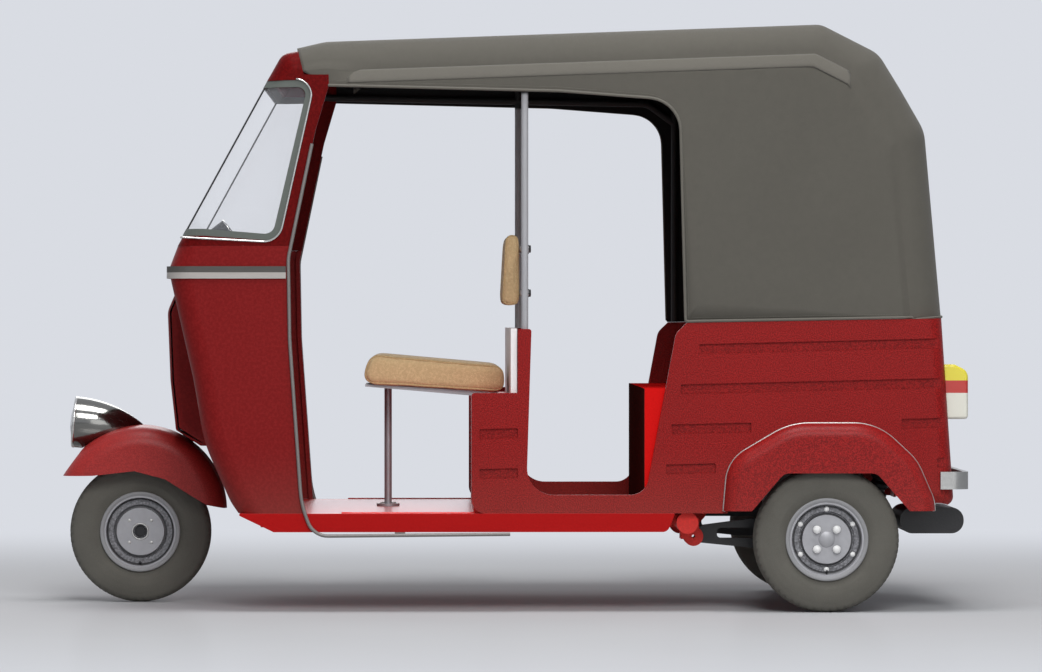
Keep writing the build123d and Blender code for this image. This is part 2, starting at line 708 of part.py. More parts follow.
body_rear_low = (1274.0, 304.0)
body_rear_high = (1238.0, 841.0)
side_rows = [
    (-110, floor_top_z + seat_gap, 38), (-110, 628, 8), (22, 628, 4), (22, 811, 8), (61, 811, 8), (46,
    336, 76),
    (388, 336, 52), (474, 798, 40), (505, 828, 3), (*body_rear_high, 0), (*body_rear_low, 26),
    (1180, body_rear_low[1], 0), (1180, floor_top_z + seat_gap, 0),
]
rear_corner = 42.0
return_depth = 62.0
groove_height = 29.0
groove_depth = 8.0
groove_pitch = 114.0
groove_low_z = 398.0
groove_slope = 0.024
groove_table = [
    (0, -88, 22), (0, 446, 588), (0, 1222, 1290), (1, -88, 22), (1, 462, 690), (1, 1120, 1290), (2, 488,
    1290),
    (3, 541, 1290),
]


arch_line = [
    (600, 180, 0), (622, 436, 110), (801, 541.5, 200), (1049.6, 541.5, 170), (1164, 435, 150), (1214,
    320, 120),
    (1220, 180, 0),
]


def arch_rows(inset):
    """The fender's arch, an open line run down below its feet, drawn in by an inset."""
    line = [Vector(x, 0, z) for x, z, radius in arch_line]
    rows = []
    for index, point in enumerate(line):
        before = line[max(index - 1, 0)]
        after = line[min(index + 1, len(line) - 1)]
        first = (point - before).normalized() if index > 0 else (after - point).normalized()
        second = (after - point).normalized() if index < len(line) - 1 else first
        right_one = Vector(first.Z, 0, -first.X)
        right_two = Vector(second.Z, 0, -second.X)
        middle = (right_one + right_two).normalized()
        moved = point + middle * (inset / middle.dot(right_one))
        radius = arch_line[index][2]
        rows.append((moved.X, moved.Z, radius - inset if radius else 0))
    return rows


def side_solid(inset, corner):
    half = body_half_width - inset
    rows = list(side_rows)
    if inset:
        rows = [(-200, 200, 0), (-200, 900, 0), (body_rear_high[0] - inset - 4, 900, 0),
                (body_rear_low[0] - inset + 7, 200, 0)]
    solid = slab(rows, -half, -body_half_width + return_depth + inset)
    chain = [e for e in front_edges(solid, half, lambda z: 2000) if e.position_at(0.5).X > 1180]
    chain = [e for e in chain if abs(e.tangent_at(0.5).Z) > 0.9 and e.length > 200]
    return fillet(chain, corner)


body_side = side_solid(0, rear_corner) - side_solid(panel_wall, rear_corner - panel_wall)
body_side -= slab(arch_rows(14), -body_half_width - 5, -body_half_width + return_depth + 40)
for row, start, end in groove_table:
    z_start = groove_low_z + groove_pitch * row + groove_slope * start
    z_end = groove_low_z + groove_pitch * row + groove_slope * end
    rows = [(start, z_start - groove_height / 2, 4), (end, z_end - groove_height / 2, 4),
            (end, z_end + groove_height / 2, 4), (start, z_start + groove_height / 2, 4)]
    body_side -= slab(rows, -body_half_width - 5, -body_half_width + groove_depth)
pieces["body_side_left"] = body_side
pieces["body_side_right"] = mirrored(body_side)

# Rear panel between the side returns, with the engine lid in its middle

lid_half_width = 330.0
lid_low_z = 424.0
lid_high_z = 800.0
lid_gap = 3.0
lid_wall = 12.0
plate_z = 478.0
plate_spacing = 120.0
plate_hole_radius = 3.5


def rear_x(z):
    share = (body_rear_high[1] - z) / (body_rear_high[1] - body_rear_low[1])
    return body_rear_high[0] + (body_rear_low[0] - body_rear_high[0]) * share


def rear_strip(z_low, z_high, outside, inside):
    return [(rear_x(z_low) - inside, z_low, 0), (rear_x(z_low) + outside, z_low, 0),
            (rear_x(z_high) + outside, z_high, 0), (rear_x(z_high) - inside, z_high, 0)]


rear_half = body_half_width - return_depth - seat_gap
panel_low_z = 330.0
rear_panel = slab(rear_strip(panel_low_z, body_rear_high[1], 0, panel_wall), -rear_half, rear_half)
lid_hole = slab(rear_strip(lid_low_z - lid_gap, lid_high_z + lid_gap, 20, 40), -lid_half_width - lid_gap,
                lid_half_width + lid_gap)
pieces["rear_panel"] = rear_panel - lid_hole
lid = slab(rear_strip(lid_low_z, lid_high_z, 0, lid_wall), -lid_half_width, lid_half_width)
for index in range(4):
    z = 600 + index * 34
    lid -= slab(rear_strip(z, z + 14, 5, lid_wall + 5), -lid_half_width + 70, lid_half_width - 70)
plate_rows = [(rear_x(430) - 1, 430, 0), (rear_x(440) + 9, 440, 8), (rear_x(480) + 16, 480, 60),
    (rear_x(516) + 9, 516, 8),
              (rear_x(526) - 1, 526, 0)]
lid += slab(plate_rows, -150, 150)
for y in (-plate_spacing / 2, plate_spacing / 2):
    lid -= rod((1200, y, plate_z), (1320, y, plate_z), plate_hole_radius)
pieces["engine_lid"] = lid
hinge_x = rear_x(lid_high_z) + 7
hinge_radius = 6.0
for side in (-1, 1):
    y = side * 220
    pieces["engine_lid"] += rod((hinge_x, y - 30, lid_high_z), (hinge_x, y + 30, lid_high_z), hinge_radius)
    pieces["engine_lid"] += box_between((rear_x(lid_high_z) - 3, y - 30, lid_high_z - 14), (hinge_x, y
        + 30, lid_high_z))
    for low, high in ((y - 62, y - 30.5), (y + 30.5, y + 62)):
        pieces["rear_panel"] += rod((hinge_x, low, lid_high_z), (hinge_x, high, lid_high_z), hinge_radius)
        pieces["rear_panel"] += box_between((rear_x(lid_high_z) - 4, low, lid_high_z + 0.5), (hinge_x,
            high, lid_high_z + 14))

# Fenders: an outer bulge over the wheel and the arched wheelhouse behind it

mouth_rows = [(671, 270, 0), (781, 399, 34), (1046, 399, 34), (1158, 270, 0)]
fender_foot_z = 291.0


def fender_bulge(inset):
    half = fender_half_width - inset
    solid = slab(arch_rows(inset), -half, -body_half_width - seat_gap)
    chain = [e for e in front_edges(solid, half, lambda z: 2000) if e.position_at(0.5).Z > 185]
    return fillet(chain, fender_shoulder - inset)


fender = fender_bulge(0) - fender_bulge(fender_wall)
fender += slab(arch_rows(0), -body_half_width - 3.3, -body_half_width - seat_gap) \
    - slab(arch_rows(20), -body_half_width - 10, -body_half_width + 10)
fender -= slab(mouth_rows, -700, -body_half_width - 10)
house = slab(arch_rows(14 + seat_gap), -body_half_width - 2, -wheelhouse_y)
house -= slab(arch_rows(20), -700, -wheelhouse_y - 5)
house -= box_between((500, -wheelhouse_y - 5, 100), (1260, -wheelhouse_y + 5, 405))
fender += house
fender -= box_between((500, -700, 100), (1260, -400, fender_foot_z))
pieces["fender_left"] = fender
pieces["fender_right"] = mirrored(fender)

# Passenger seat: a folded box, cushion and backrest

seat_front_x = 384.0
seat_top_z = 640.0
seat_wall = 10.0
seat_line = [(seat_front_x, floor_top_z + seat_gap), (seat_front_x, seat_top_z), (930, seat_top_z),
    (962, 812), (1221, 812)]
pieces["passenger_seat_base"] = sheet(list(reversed(seat_line)), seat_wall, -inner_half, inner_half)
for side in (-1, 1):
    low, high = sorted((side * 534, side * 600))
    pieces["passenger_seat_base"] -= box_between((1190, low, 780), (1260, high, 840))
seat_end_rear_x = 468.0
for low, high in ((-inner_half, -inner_half + seat_wall), (inner_half - seat_wall, inner_half)):
    pieces["passenger_seat_base"] += box_between(
        (seat_front_x, low, floor_top_z + seat_gap), (seat_end_rear_x, high, seat_top_z))
bench_half = inner_half - 14
bench = slab([(524, seat_top_z + seat_gap, 20), (520, 738, 40), (915, 726, 30), (905, seat_top_z
    + seat_gap, 20)],
             -bench_half, bench_half)
pieces["passenger_cushion"] = fillet(
    [e for e in bench.edges() if abs(abs(e.position_at(0.5).Y) - bench_half) < 0.01], 16)
squab = slab([(858, 728.5, 20), (940, 1160, 34), (1020, 1152, 24), (961.6, 812.5, 0), (945.5, 726.3, 4)],
             -bench_half + 20, bench_half - 20)
pieces["passenger_backrest"] = squab

# Canopy frame: bows, side rails and the cross bars behind the driver

def roof_inner(x):
    """Height of the canopy's lining at X on its long top run."""
    return 1642 + (x + 530) * (1694 - 1642) / (902 + 530) - canopy_wall


tube_y = canopy_half_width - canopy_wall - tube_radius - 4
bow_corner = canopy_shoulder - canopy_wall - tube_radius
rail_z = 1519.0
middle_bow_x = 524.0
rear_bow_x = 890.0
rear_bow_foot_z = 1500.0


def bow(x, foot):
    top = roof_inner(x) - tube_radius - 1.5
    return bar([(x, -tube_y, foot), (x, -tube_y, top), (x, tube_y, top), (x, tube_y, foot)],
        tube_radius, bow_corner)


canopy_frame = bow(upright_x, 811.3)
pieces["canopy_middle_bow"] = bow(middle_bow_x, 828.8)
top = roof_inner(rear_bow_x + tube_radius) - tube_radius - 4
rear_line = [
    (middle_bow_x, -tube_y, rear_bow_foot_z), (rear_bow_x, -tube_y, rear_bow_foot_z), (rear_bow_x,
    -tube_y, top),
    (rear_bow_x, tube_y, top), (rear_bow_x, tube_y, rear_bow_foot_z), (middle_bow_x, tube_y, rear_bow_foot_z),
]
pieces["canopy_rear_bow"] = bar(rear_line, tube_radius, [60, bow_corner, bow_corner,
    60]) - pieces["canopy_middle_bow"]
for side in (-1, 1):
    y = side * tube_y
    canopy_frame += bar([(-560, y, rail_z), (440, y, rail_z - 18), (middle_bow_x, y, 1440)], tube_radius, 60)
for z in bolt_rows:
    canopy_frame += rod((upright_x, -tube_y, z), (upright_x, tube_y, z), tube_radius - 1)
    for y in (-150, 150):
        canopy_frame += rod((30.5, y, z), (upright_x + 26, y, z), 6)
        canopy_frame += rod((upright_x + 13, y, z), (upright_x + 20, y, z), 12)
pieces["canopy_frame"] = canopy_frame - pieces["driver_backrest"] - pieces["canopy_middle_bow"]

# Tail lamps, bumper and silencer

lamp_setback = 88.0
lamp_y = body_half_width - lamp_setback
lamp_half = 46.0
tail = slab([(rear_x(552) + seat_gap, 552, 0), (rear_tip_x, 552, 10), (rear_tip_x, 690, 30),
    (rear_x(708) + 30, 709, 14),
             (rear_x(709) + seat_gap, 709, 0)], -lamp_y - lamp_half, -lamp_y + lamp_half)
tail = fillet([e for e in tail.edges() if e.position_at(0.5).X > rear_x(630) + 12
               and abs(abs(e.position_at(0.5).Y + lamp_y) - lamp_half) < 0.01 and e.position_at(0.5).Z > 553], 9)
pieces["tail_lamps"] = Compound(children=[tail, mirrored(tail)])

bumper_low = 352.0
bumper_high = 402.0
bumper_rear = 1314.0
bumper_stand = 18.0
bumper_half = body_half_width + bumper_stand
bumper_wall = 16.0


def bumper_ring(inset, low, high):
    half = bumper_half - inset
    box = box_between((1200, -half, low), (bumper_rear - inset, half, high))
    corner = [e for e in box.edges() if abs(e.tangent_at(0.5).Z) > 0.9 and e.position_at(0.5).X > 1290]
    return fillet(corner, 48 - inset)


bumper = bumper_ring(0, bumper_low, bumper_high) - bumper_ring(bumper_wall, bumper_low - 5, bumper_high + 5)
bumper -= box_between((1190, -700, 340), (1231, 700, 420))
for y in (-380, 380):
    bumper += box_between((rear_x(377) + seat_gap + 1.5, y - 25, 364), (bumper_rear - bumper_wall + 2,
        y + 25, 390))
pieces["rear_bumper"] = bumper

silencer = box_between((1128, -470, 220), (1312, -150, 295))
silencer = fillet([e for e in silencer.edges() if abs(e.tangent_at(0.5).Y) > 0.9], 36)
silencer += bar([(1040.5, -120, 257), (1220, -120, 257), (1220, -160, 257)], 16, 30)
pieces["silencer"] = silencer

# Engine and gearbox as one block, with a boss for each drive shaft

engine_half = 190.0
engine = box_between((770, -engine_half, 190), (1040, engine_half, 500))
engine = fillet(engine.edges(), 28)
boss_end = 232.0
engine += rod((rear_axle_x, -boss_end, tyre_radius), (rear_axle_x, boss_end, tyre_radius), 40)
mount_end = rail_y - rear_rail_width / 2 - seat_gap
for x in (800, 960):
    engine += box_between((x, -mount_end, 484), (x + 44, mount_end, 499))
for x in (800, 960):
    for side in (-1, 1):
        low, high = sorted((side * (mount_end - 12), side * mount_end))
        engine += box_between((x, low, 484), (x + 44, high, 540))
pieces["engine_block"] = engine

# Trailing arms with their hub tubes

arm_rows = [(arm_pivot_x, 195, 0), (arm_pivot_x, 228, 0), (562, 244, 10), (700, 262, 60), (890, 256,
    20), (1080, 246, 12),
            (1080, 216, 12), (930, 172, 20), (700, 178, 60)]
hub_end = track / 2 - drum_end
arm = slab(arm_rows, -arm_y - arm_width / 2, -arm_y + arm_width / 2)
arm += rod((arm_pivot_x, -arm_y - arm_width / 2, arm_pivot_z), (arm_pivot_x, -arm_y + arm_width / 2,
    arm_pivot_z), 17)
arm -= slab([(600, 206, 12), (600, 236, 12), (830, 236, 12), (830, 206, 12)], -arm_y - 30, -arm_y + 30)
arm += rod((rear_axle_x, -arm_y + arm_width / 2 + 6, tyre_radius), (rear_axle_x, -hub_end + 3,
    tyre_radius), 30)
arm -= rod((rear_axle_x, -arm_y + 60, tyre_radius), (rear_axle_x, -hub_end - 10, tyre_radius), bore)
arm -= rod((arm_pivot_x, -600, arm_pivot_z), (arm_pivot_x, -300, arm_pivot_z), arm_pin_radius
    + running_clearance)
pieces["trailing_arms"] = Compound(children=[arm, mirrored(arm)])

# Drive shafts: each turns with its wheel, from the gearbox boss through the arm to the hub

shaft_end = -track / 2 + axle_inner
shaft = rod((rear_axle_x, shaft_end - 10, tyre_radius), (rear_axle_x, -boss_end - 0.6, tyre_radius),
    axle_radius)
shaft += rod((rear_axle_x, -boss_end - 16, tyre_radius), (rear_axle_x, -boss_end - 0.6, tyre_radius), 32)
shaft += rod((rear_axle_x, -370, tyre_radius), (rear_axle_x, -340, tyre_radius), 26)
shaft += rod((rear_axle_x, shaft_end - 9, tyre_radius), (rear_axle_x, shaft_end - seat_gap, tyre_radius), 17)
pieces["drive_shaft_left"] = shaft
pieces["drive_shaft_right"] = mirrored(shaft)
pieces["rear_tyre_right"] = mirrored(pieces["rear_tyre_left"])
pieces["rear_rim_right"] = mirrored(pieces["rear_rim_left"])

# Rear dampers between the arms and the cross beam

rear_eye = 17.0
rear_damper_low = (1050, -arm_y, 249 + rear_eye)
rear_damper_top = (1098, -arm_y, strut_beam_low - rear_eye - seat_gap)
damper = make_damper(rear_damper_low, rear_damper_top, eye, 7, 29)
for x, y, z in (rear_damper_low, rear_damper_top):
    damper += rod((x, y - 16, z), (x, y + 16, z), rear_eye)
damper -= arm
pieces["rear_dampers"] = Compound(children=[damper, mirrored(damper)])

# One file per piece

os.makedirs("parts", exist_ok=True)
for name, piece in pieces.items():
    export_step(piece, "parts/" + name + ".step")
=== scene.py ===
"""Auto rickshaw: finishes, soft goods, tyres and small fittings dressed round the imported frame.

Metres. The front points to -X, +Z is up and the main view looks along +Y.
"""

from math import cos, pi, radians, sin

import bmesh
import bpy
import numpy as np
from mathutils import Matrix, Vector
from mathutils.bvhtree import BVHTree


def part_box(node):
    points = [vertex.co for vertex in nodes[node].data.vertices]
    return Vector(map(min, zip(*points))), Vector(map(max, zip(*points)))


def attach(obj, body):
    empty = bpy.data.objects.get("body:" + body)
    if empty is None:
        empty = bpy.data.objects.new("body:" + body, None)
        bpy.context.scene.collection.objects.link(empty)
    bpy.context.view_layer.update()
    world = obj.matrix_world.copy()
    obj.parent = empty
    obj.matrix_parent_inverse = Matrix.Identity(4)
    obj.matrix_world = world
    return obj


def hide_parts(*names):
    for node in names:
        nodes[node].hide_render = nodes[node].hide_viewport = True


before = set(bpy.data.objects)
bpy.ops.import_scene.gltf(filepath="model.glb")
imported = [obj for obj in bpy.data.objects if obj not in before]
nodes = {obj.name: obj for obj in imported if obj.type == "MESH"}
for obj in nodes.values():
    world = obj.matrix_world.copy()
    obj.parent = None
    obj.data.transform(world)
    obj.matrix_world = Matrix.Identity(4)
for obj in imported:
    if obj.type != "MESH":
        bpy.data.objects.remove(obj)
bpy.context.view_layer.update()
scene = bpy.context.scene

FRONT_AXLE = (-1.088, 0.0, 0.209)
REAR_AXLES = {"left": (0.905, -0.575, 0.209), "right": (0.905, 0.575, 0.209)}


# Shader maths


def shader_maths(operation):
    """A method that puts a Math node behind a value and the others given."""

    def method(self, *others):
        return self.finish.node("Math", {"operation": operation}, dict(enumerate((self, *others))))

    return method


class Value:
    """A number that varies over a surface, worked out by the nodes of the finish it belongs to."""

    __add__ = __radd__ = shader_maths("ADD")
    __mul__ = __rmul__ = shader_maths("MULTIPLY")
    __sub__ = shader_maths("SUBTRACT")
    power = shader_maths("POWER")
    wave = shader_maths("SINE")
    larger = shader_maths("MAXIMUM")

    def __init__(self, finish, socket):
        self.finish = finish
        self.socket = socket

    def __rsub__(self, other):
        return self.finish.node("Math", {"operation": "SUBTRACT"}, {0: other, 1: self})

    def step(self, low, high):
        """0 below low, 1 above high and a smooth ramp between them."""
        settings = {"interpolation_type": "SMOOTHSTEP"}
        inputs = {"Value": self, "From Min": low, "From Max": high}
        return self.finish.node("MapRange", settings, inputs)

    def band(self, low, high, edge):
        """1 between low and high, with edges of a given softness."""
        return self.step(low - edge, low + edge) * (1 - self.step(high - edge, high + edge))


class Finish:
    """One material: a Principled shader with constant sockets, and the nodes that vary the rest."""

    def __init__(self, name, **constants):
        self.material = bpy.data.materials.new(name)
        self.material.use_nodes = True
        self.tree = self.material.node_tree
        self.shader = self.tree.nodes["Principled BSDF"]
        for words, value in constants.items():
            socket = self.shader.inputs[words.replace("_", " ").title().replace("Ior", "IOR")]
            socket.default_value = (*value, 1.0) if isinstance(value, tuple) else value
        self.place = self.node("TexCoord", {}, {}, "Object")

    def node(self, kind, settings, inputs, output=0):
        """Adds a node with its settings and inputs, and gives one of its outputs."""
        made = self.tree.nodes.new("ShaderNode" + kind)
        for words, value in settings.items():
            setattr(made, words, value)
        for words, value in inputs.items():
            self.feed(made.inputs[words], value)
        return Value(self, made.outputs[output])

    def feed(self, socket, value):
        if isinstance(value, Value):
            self.tree.links.new(value.socket, socket)
        elif isinstance(value, tuple) and len(value) == 3 and socket.type == "RGBA":
            socket.default_value = (*value, 1.0)
        else:
            socket.default_value = value

    def axis(self, letter):
        """One coordinate of the point, in metres."""
        return self.node("SeparateXYZ", {}, {"Vector": self.place}, letter)

    def noise(self, scale, detail=3.0, roughness=0.55, vector=None):
        inputs = {"Vector": vector or self.place, "Scale": scale, "Detail": detail, "Roughness": roughness}
        return self.node("TexNoise", {}, inputs, "Fac")

    def stretched(self, x, y, z):
        """Object coordinates scaled apart along the three axes."""
        return self.node("Mapping", {}, {"Vector": self.place, "Scale": (x, y, z)})

    def blend(self, share, first, second):
        """A colour that goes from first to second as share goes from 0 to 1."""
        inputs = {"Factor": share, 6: first, 7: second}
        return self.node("Mix", {"data_type": "RGBA"}, inputs, 2)

    def colour(self, value):
        self.feed(self.shader.inputs["Base Color"], value)
        return self

    def rough(self, value):
        self.feed(self.shader.inputs["Roughness"], value)
        return self

    def relief(self, height, depth):
        """Bump from a height between 0 and 1 that stands for depth metres."""
        inputs = {"Height": height, "Distance": depth, "Strength": 1.0}
        bump = self.node("Bump", {}, inputs, "Normal")
        self.feed(self.shader.inputs["Normal"], bump)
        return self

    def radius_from(self, x, z):
        """Distance from a line along Y through (x, z)."""
        across = self.axis("X") - x
        up = self.axis("Z") - z
        return (across * across + up * up).power(0.5)


def dimmed(tone, share):
    return tuple(share * part for part in tone)


# Finishes

SHADOW_RED = (0.15, 0.006, 0.006)
BODY_RED = (0.4, 0.016, 0.015)
COWL_RED = (0.235, 0.011, 0.011)
GLOSS_RED = (0.72, 0.012, 0.011)
SILL_RED = (0.46, 0.006, 0.006)
DUST = (0.34, 0.29, 0.23)

# Where a finish changes, each as the start and end of its ramp in metres
DUST_GONE = (0.18, 0.5)
SILL_TOP = (0.282, 0.2828)
SEAT_BOX_ENDS = (0.3846, 0.3862)
LINING_HEIGHT = (1.48, 1.49)
LENS_RED = (0.6265, 0.6275)
LENS_YELLOW = (0.6625, 0.6635)
TRIM_RUBBER = (0.9715, 0.9735)


def pressed_red(name, light, dark, grain, depth, dusty=0.12, gloss=0.12):
    """Enamel on pressed steel: fine speckle, slow patches of tone and a little road dust low down."""
    paint = Finish(name, specular_ior_level=gloss)
    speck = paint.noise(grain, 2.0, 0.7).step(0.4, 0.64)
    patches = paint.noise(2.6, 3.0)
    low = 1 - paint.axis("Z").step(*DUST_GONE)
    enamel = paint.blend(speck * 0.8 + patches * 0.2, dark, light)
    paint.colour(paint.blend(low * patches * dusty, enamel, DUST))
    paint.rough(patches * 0.12 + low * 0.12 + 0.32)
    return paint.relief(paint.noise(grain * 0.7, 2.0), depth)


def sill_red(name):
    """The floor pan: deep red on its folded sides and a polished top whose red is painted brighter as
    highlight.
    """
    paint = Finish(name, specular_ior_level=0.1, coat_roughness=0.22)
    speck = paint.noise(160.0, 2.0)
    top = paint.axis("Z").step(*SILL_TOP)
    side = paint.blend(speck, (0.36, 0.004, 0.004), SILL_RED)
    # Painted highlight: the top's brighter red stands for the light it catches.
    paint.colour(paint.blend(top, side, paint.blend(speck, (0.7, 0.02, 0.02), GLOSS_RED)))
    paint.feed(paint.shader.inputs["Coat Weight"], top)
    paint.rough(speck * 0.1 + 0.34)
    return paint.relief(speck, 0.0001)


def seat_box_red(name):
    """The passenger seat's box: bright red ends and a front face painted near-black as deep shade."""
    paint = Finish(name, specular_ior_level=0.0)
    speck = paint.noise(160.0, 2.0)
    ends = paint.blend(speck, (0.6, 0.008, 0.008), GLOSS_RED)
    # Painted shade: the front face's near-black colour stands for the shade it lies in.
    front = paint.blend(speck, (0.035, 0.012, 0.01), (0.06, 0.018, 0.015))
    paint.colour(paint.blend(paint.axis("X").step(*SEAT_BOX_ENDS), front, ends))
    paint.rough(speck * 0.1 + 0.36)
    return paint.relief(speck, 0.0002)


def plated(name, tone, roughness):
    """Plated or polished metal with faint smears and pits."""
    metal = Finish(name, metallic=1.0)
    smear = metal.noise(9.0, 4.0, vector=metal.stretched(1.0, 1.0, 4.0))
    pits = metal.noise(420.0, 2.0).step(0.66, 0.74)
    metal.colour(metal.blend(smear * 0.35 + pits * 0.25, tone, dimmed(tone, 0.62)))
    metal.rough(smear * 0.12 + pits * 0.2 + roughness)
    return metal.relief(metal.noise(60.0), 0.0003)


def brushed(name, tone, roughness, metallic=0.55):
    """Grey steel with fine upright scratches and dull patches."""
    metal = Finish(name, metallic=metallic, specular_ior_level=0.5)
    scratch = metal.noise(30.0, 4.0, 0.7, metal.stretched(14.0, 14.0, 0.6))
    dull = metal.noise(8.0, 3.0)
    metal.colour(metal.blend(scratch * 0.6 + dull * 0.3, dimmed(tone, 0.72), tone))
    metal.rough(dull * 0.2 + scratch * 0.1 + roughness)
    return metal.relief(scratch, 0.0002)


def bow_steel(name):
    """Grey tube where the uprights show, and black painted as shade where rails and bows lie against the
    lining.
    """
    metal = Finish(name, specular_ior_level=0.4)
    scratch = metal.noise(30.0, 4.0, 0.7, metal.stretched(14.0, 14.0, 0.6))
    x, z = metal.axis("X"), metal.axis("Z")
    # Painted shade: all but the lower uprights lie in the canopy's shade and are painted black for it.
    in_lining_shade = z.step(*LINING_HEIGHT).larger(x.step(0.09, 0.1)).larger(1 - x.step(-0.02, -0.01))
    grey = metal.blend(scratch, (0.31, 0.31, 0.325), (0.44, 0.44, 0.46))
    black = metal.blend(scratch, (0.01, 0.01, 0.01), (0.018, 0.018, 0.018))
    metal.colour(metal.blend(in_lining_shade, grey, black))
    metal.rough(scratch * 0.1 + in_lining_shade * 0.2 + 0.38)
    return metal.relief(scratch, 0.0002)


def moulded(name, tone, roughness, grain=900.0, depth=0.0002, fleck=0.75):
    """Moulded plastic or rubber: a pebbled skin with slightly uneven tone."""
    skin = Finish(name, specular_ior_level=0.4)
    pebble = skin.noise(grain, 2.0)
    patch = skin.noise(7.0, 4.0)
    skin.colour(skin.blend(pebble * 0.5 + patch * 0.4, dimmed(tone, fleck), tone))
    skin.rough(patch * 0.16 + roughness)
    return skin.relief(pebble, depth)


def woven(name, light, dark, pitch, depth, slub=0.5):
    """Coarse plain weave: two crossed sets of threads, with uneven thread tone and loose slubs."""
    cloth = Finish(name, sheen_weight=0.25, sheen_roughness=0.6, specular_ior_level=0.2)
    turns = 2 * pi / pitch
    warp = (cloth.axis("X") * turns).wave()
    weft = ((cloth.axis("Y") + cloth.axis("Z")) * turns).wave()
    lattice = (warp * weft) * 0.5 + 0.5
    thread = cloth.noise(1.1 / pitch * 0.22, 3.0, 0.7)
    lumps = cloth.noise(0.42 / pitch, 2.0).step(0.4, 0.7)
    shade = lattice * 0.35 + thread * 0.35 + lumps * slub
    cloth.colour(cloth.blend(shade, dark, light))
    cloth.rough(lattice * 0.1 + 0.78)
    return cloth.relief(lattice * 0.6 + lumps * 0.4, depth)


def coated_canvas(name, light, dark):
    """Coated canvas: a fine weave just showing through, soft creases and faded patches."""
    cloth = Finish(name, sheen_weight=0.1, specular_ior_level=0.25)
    weave = (cloth.axis("X") * 2600.0).wave() * ((cloth.axis("Z") + cloth.axis("Y")) * 2600.0).wave()
    faded = cloth.noise(1.6, 4.0)
    mottle = cloth.noise(46.0, 3.0, 0.65)
    cloth.colour(cloth.blend(faded * 0.5 + mottle * 0.45 + weave * 0.05, dark, light))
    cloth.rough(mottle * 0.16 + 0.66)
    return cloth.relief(weave * 0.15 + mottle * 0.5 + cloth.noise(9.0, 3.0) * 0.35, 0.0012)


def tyre_rubber(name):
    """Tyre rubber in a dusty olive grey with fine grit; the rings on its sides are in the tyre's shape."""
    rubber = Finish(name, specular_ior_level=0.3)
    dust = rubber.noise(14.0, 4.0)
    grit = rubber.noise(300.0, 2.0)
    rubber.colour(rubber.blend(dust * 0.6 + grit * 0.35, (0.082, 0.078, 0.067), (0.158, 0.151, 0.131)))
    rubber.rough(dust * 0.12 + 0.78)
    return rubber.relief(grit * 0.6 + dust * 0.4, 0.0006)


def wheel_paint(name, centre, ring_low, ring_high):
    """Silver wheel paint with a cast, dimpled ring between two radii and near-black grooves at the ring's
    edges.
    """
    paint = Finish(name, metallic=0.35, specular_ior_level=0.5)
    radius = paint.radius_from(centre[0], centre[2])
    ring = radius.band(ring_low, ring_high, 0.0012)
    inner = radius.band(ring_low - 0.004, ring_low + 0.001, 0.001)
    grooves = inner + radius.band(ring_high - 0.001, ring_high + 0.004, 0.001)
    cells = paint.node("TexVoronoi", {}, {"Vector": paint.place, "Scale": 150.0}, "Distance")
    grime = paint.noise(30.0, 4.0)
    silver = paint.blend(grime * 0.55, (0.42, 0.42, 0.44), (0.2, 0.2, 0.21))
    cast = paint.blend(cells, (0.3, 0.3, 0.32), (0.1, 0.1, 0.105))
    toned = paint.blend(ring, silver, cast)
    paint.colour(paint.blend(grooves * 0.85, toned, (0.035, 0.035, 0.036)))
    paint.rough(grime * 0.2 + ring * 0.15 + 0.34)
    return paint.relief(cells * ring + grime * 0.2 - grooves * 0.6, 0.0016)


def lamp_lens(name):
    """Tail lamp lens moulded in three colours one above another, with fine upright ribs."""
    lens = Finish(name, coat_weight=0.25, coat_roughness=0.05, specular_ior_level=0.3)
    height = lens.axis("Z")
    lower = lens.blend(height.step(*LENS_RED), (0.74, 0.73, 0.64), (0.5, 0.028, 0.02))
    lens.colour(lens.blend(height.step(*LENS_YELLOW), lower, (0.76, 0.66, 0.045)))
    ribs = (lens.axis("Y") * 1250.0).wave() * 0.5 + 0.5
    lens.rough(lens.noise(12.0) * 0.1 + 0.12)
    return lens.relief(ribs, 0.0008)


def clear_glass(name, tone, alpha, bow=0.0):
    """Clear safety glass: nearly see-through, with faint streaks of wiped dust."""
    glass = Finish(name, specular_ior_level=0.8, coat_weight=0.5, coat_roughness=0.02)
    wiped = glass.noise(5.0, 3.0, vector=glass.stretched(1.0, 1.0, 3.0))
    glass.colour(glass.blend(wiped * 0.5, tone, dimmed(tone, 0.8)))
    glass.rough(wiped * 0.06 + 0.02)
    glass.feed(glass.shader.inputs["Alpha"], wiped * 0.03 + alpha)
    return glass.relief(glass.noise(3.0), 0.0004 + bow)


def two_tone_trim(name):
    """Waist band: dark rubber above and a pale polished strip below."""
    trim = Finish(name, specular_ior_level=0.5)
    pale = 1 - trim.axis("Z").step(*TRIM_RUBBER)
    scuff = trim.noise(40.0, 3.0, vector=trim.stretched(0.3, 0.3, 2.0))
    dark = trim.blend(scuff, (0.05, 0.046, 0.042), (0.085, 0.078, 0.07))
    light = trim.blend(scuff, (0.5, 0.47, 0.44), (0.36, 0.33, 0.31))
    trim.colour(trim.blend(pale, dark, light))
    trim.rough(scuff * 0.2 + 0.5 - pale * 0.22)
    return trim.relief(scuff, 0.0003)


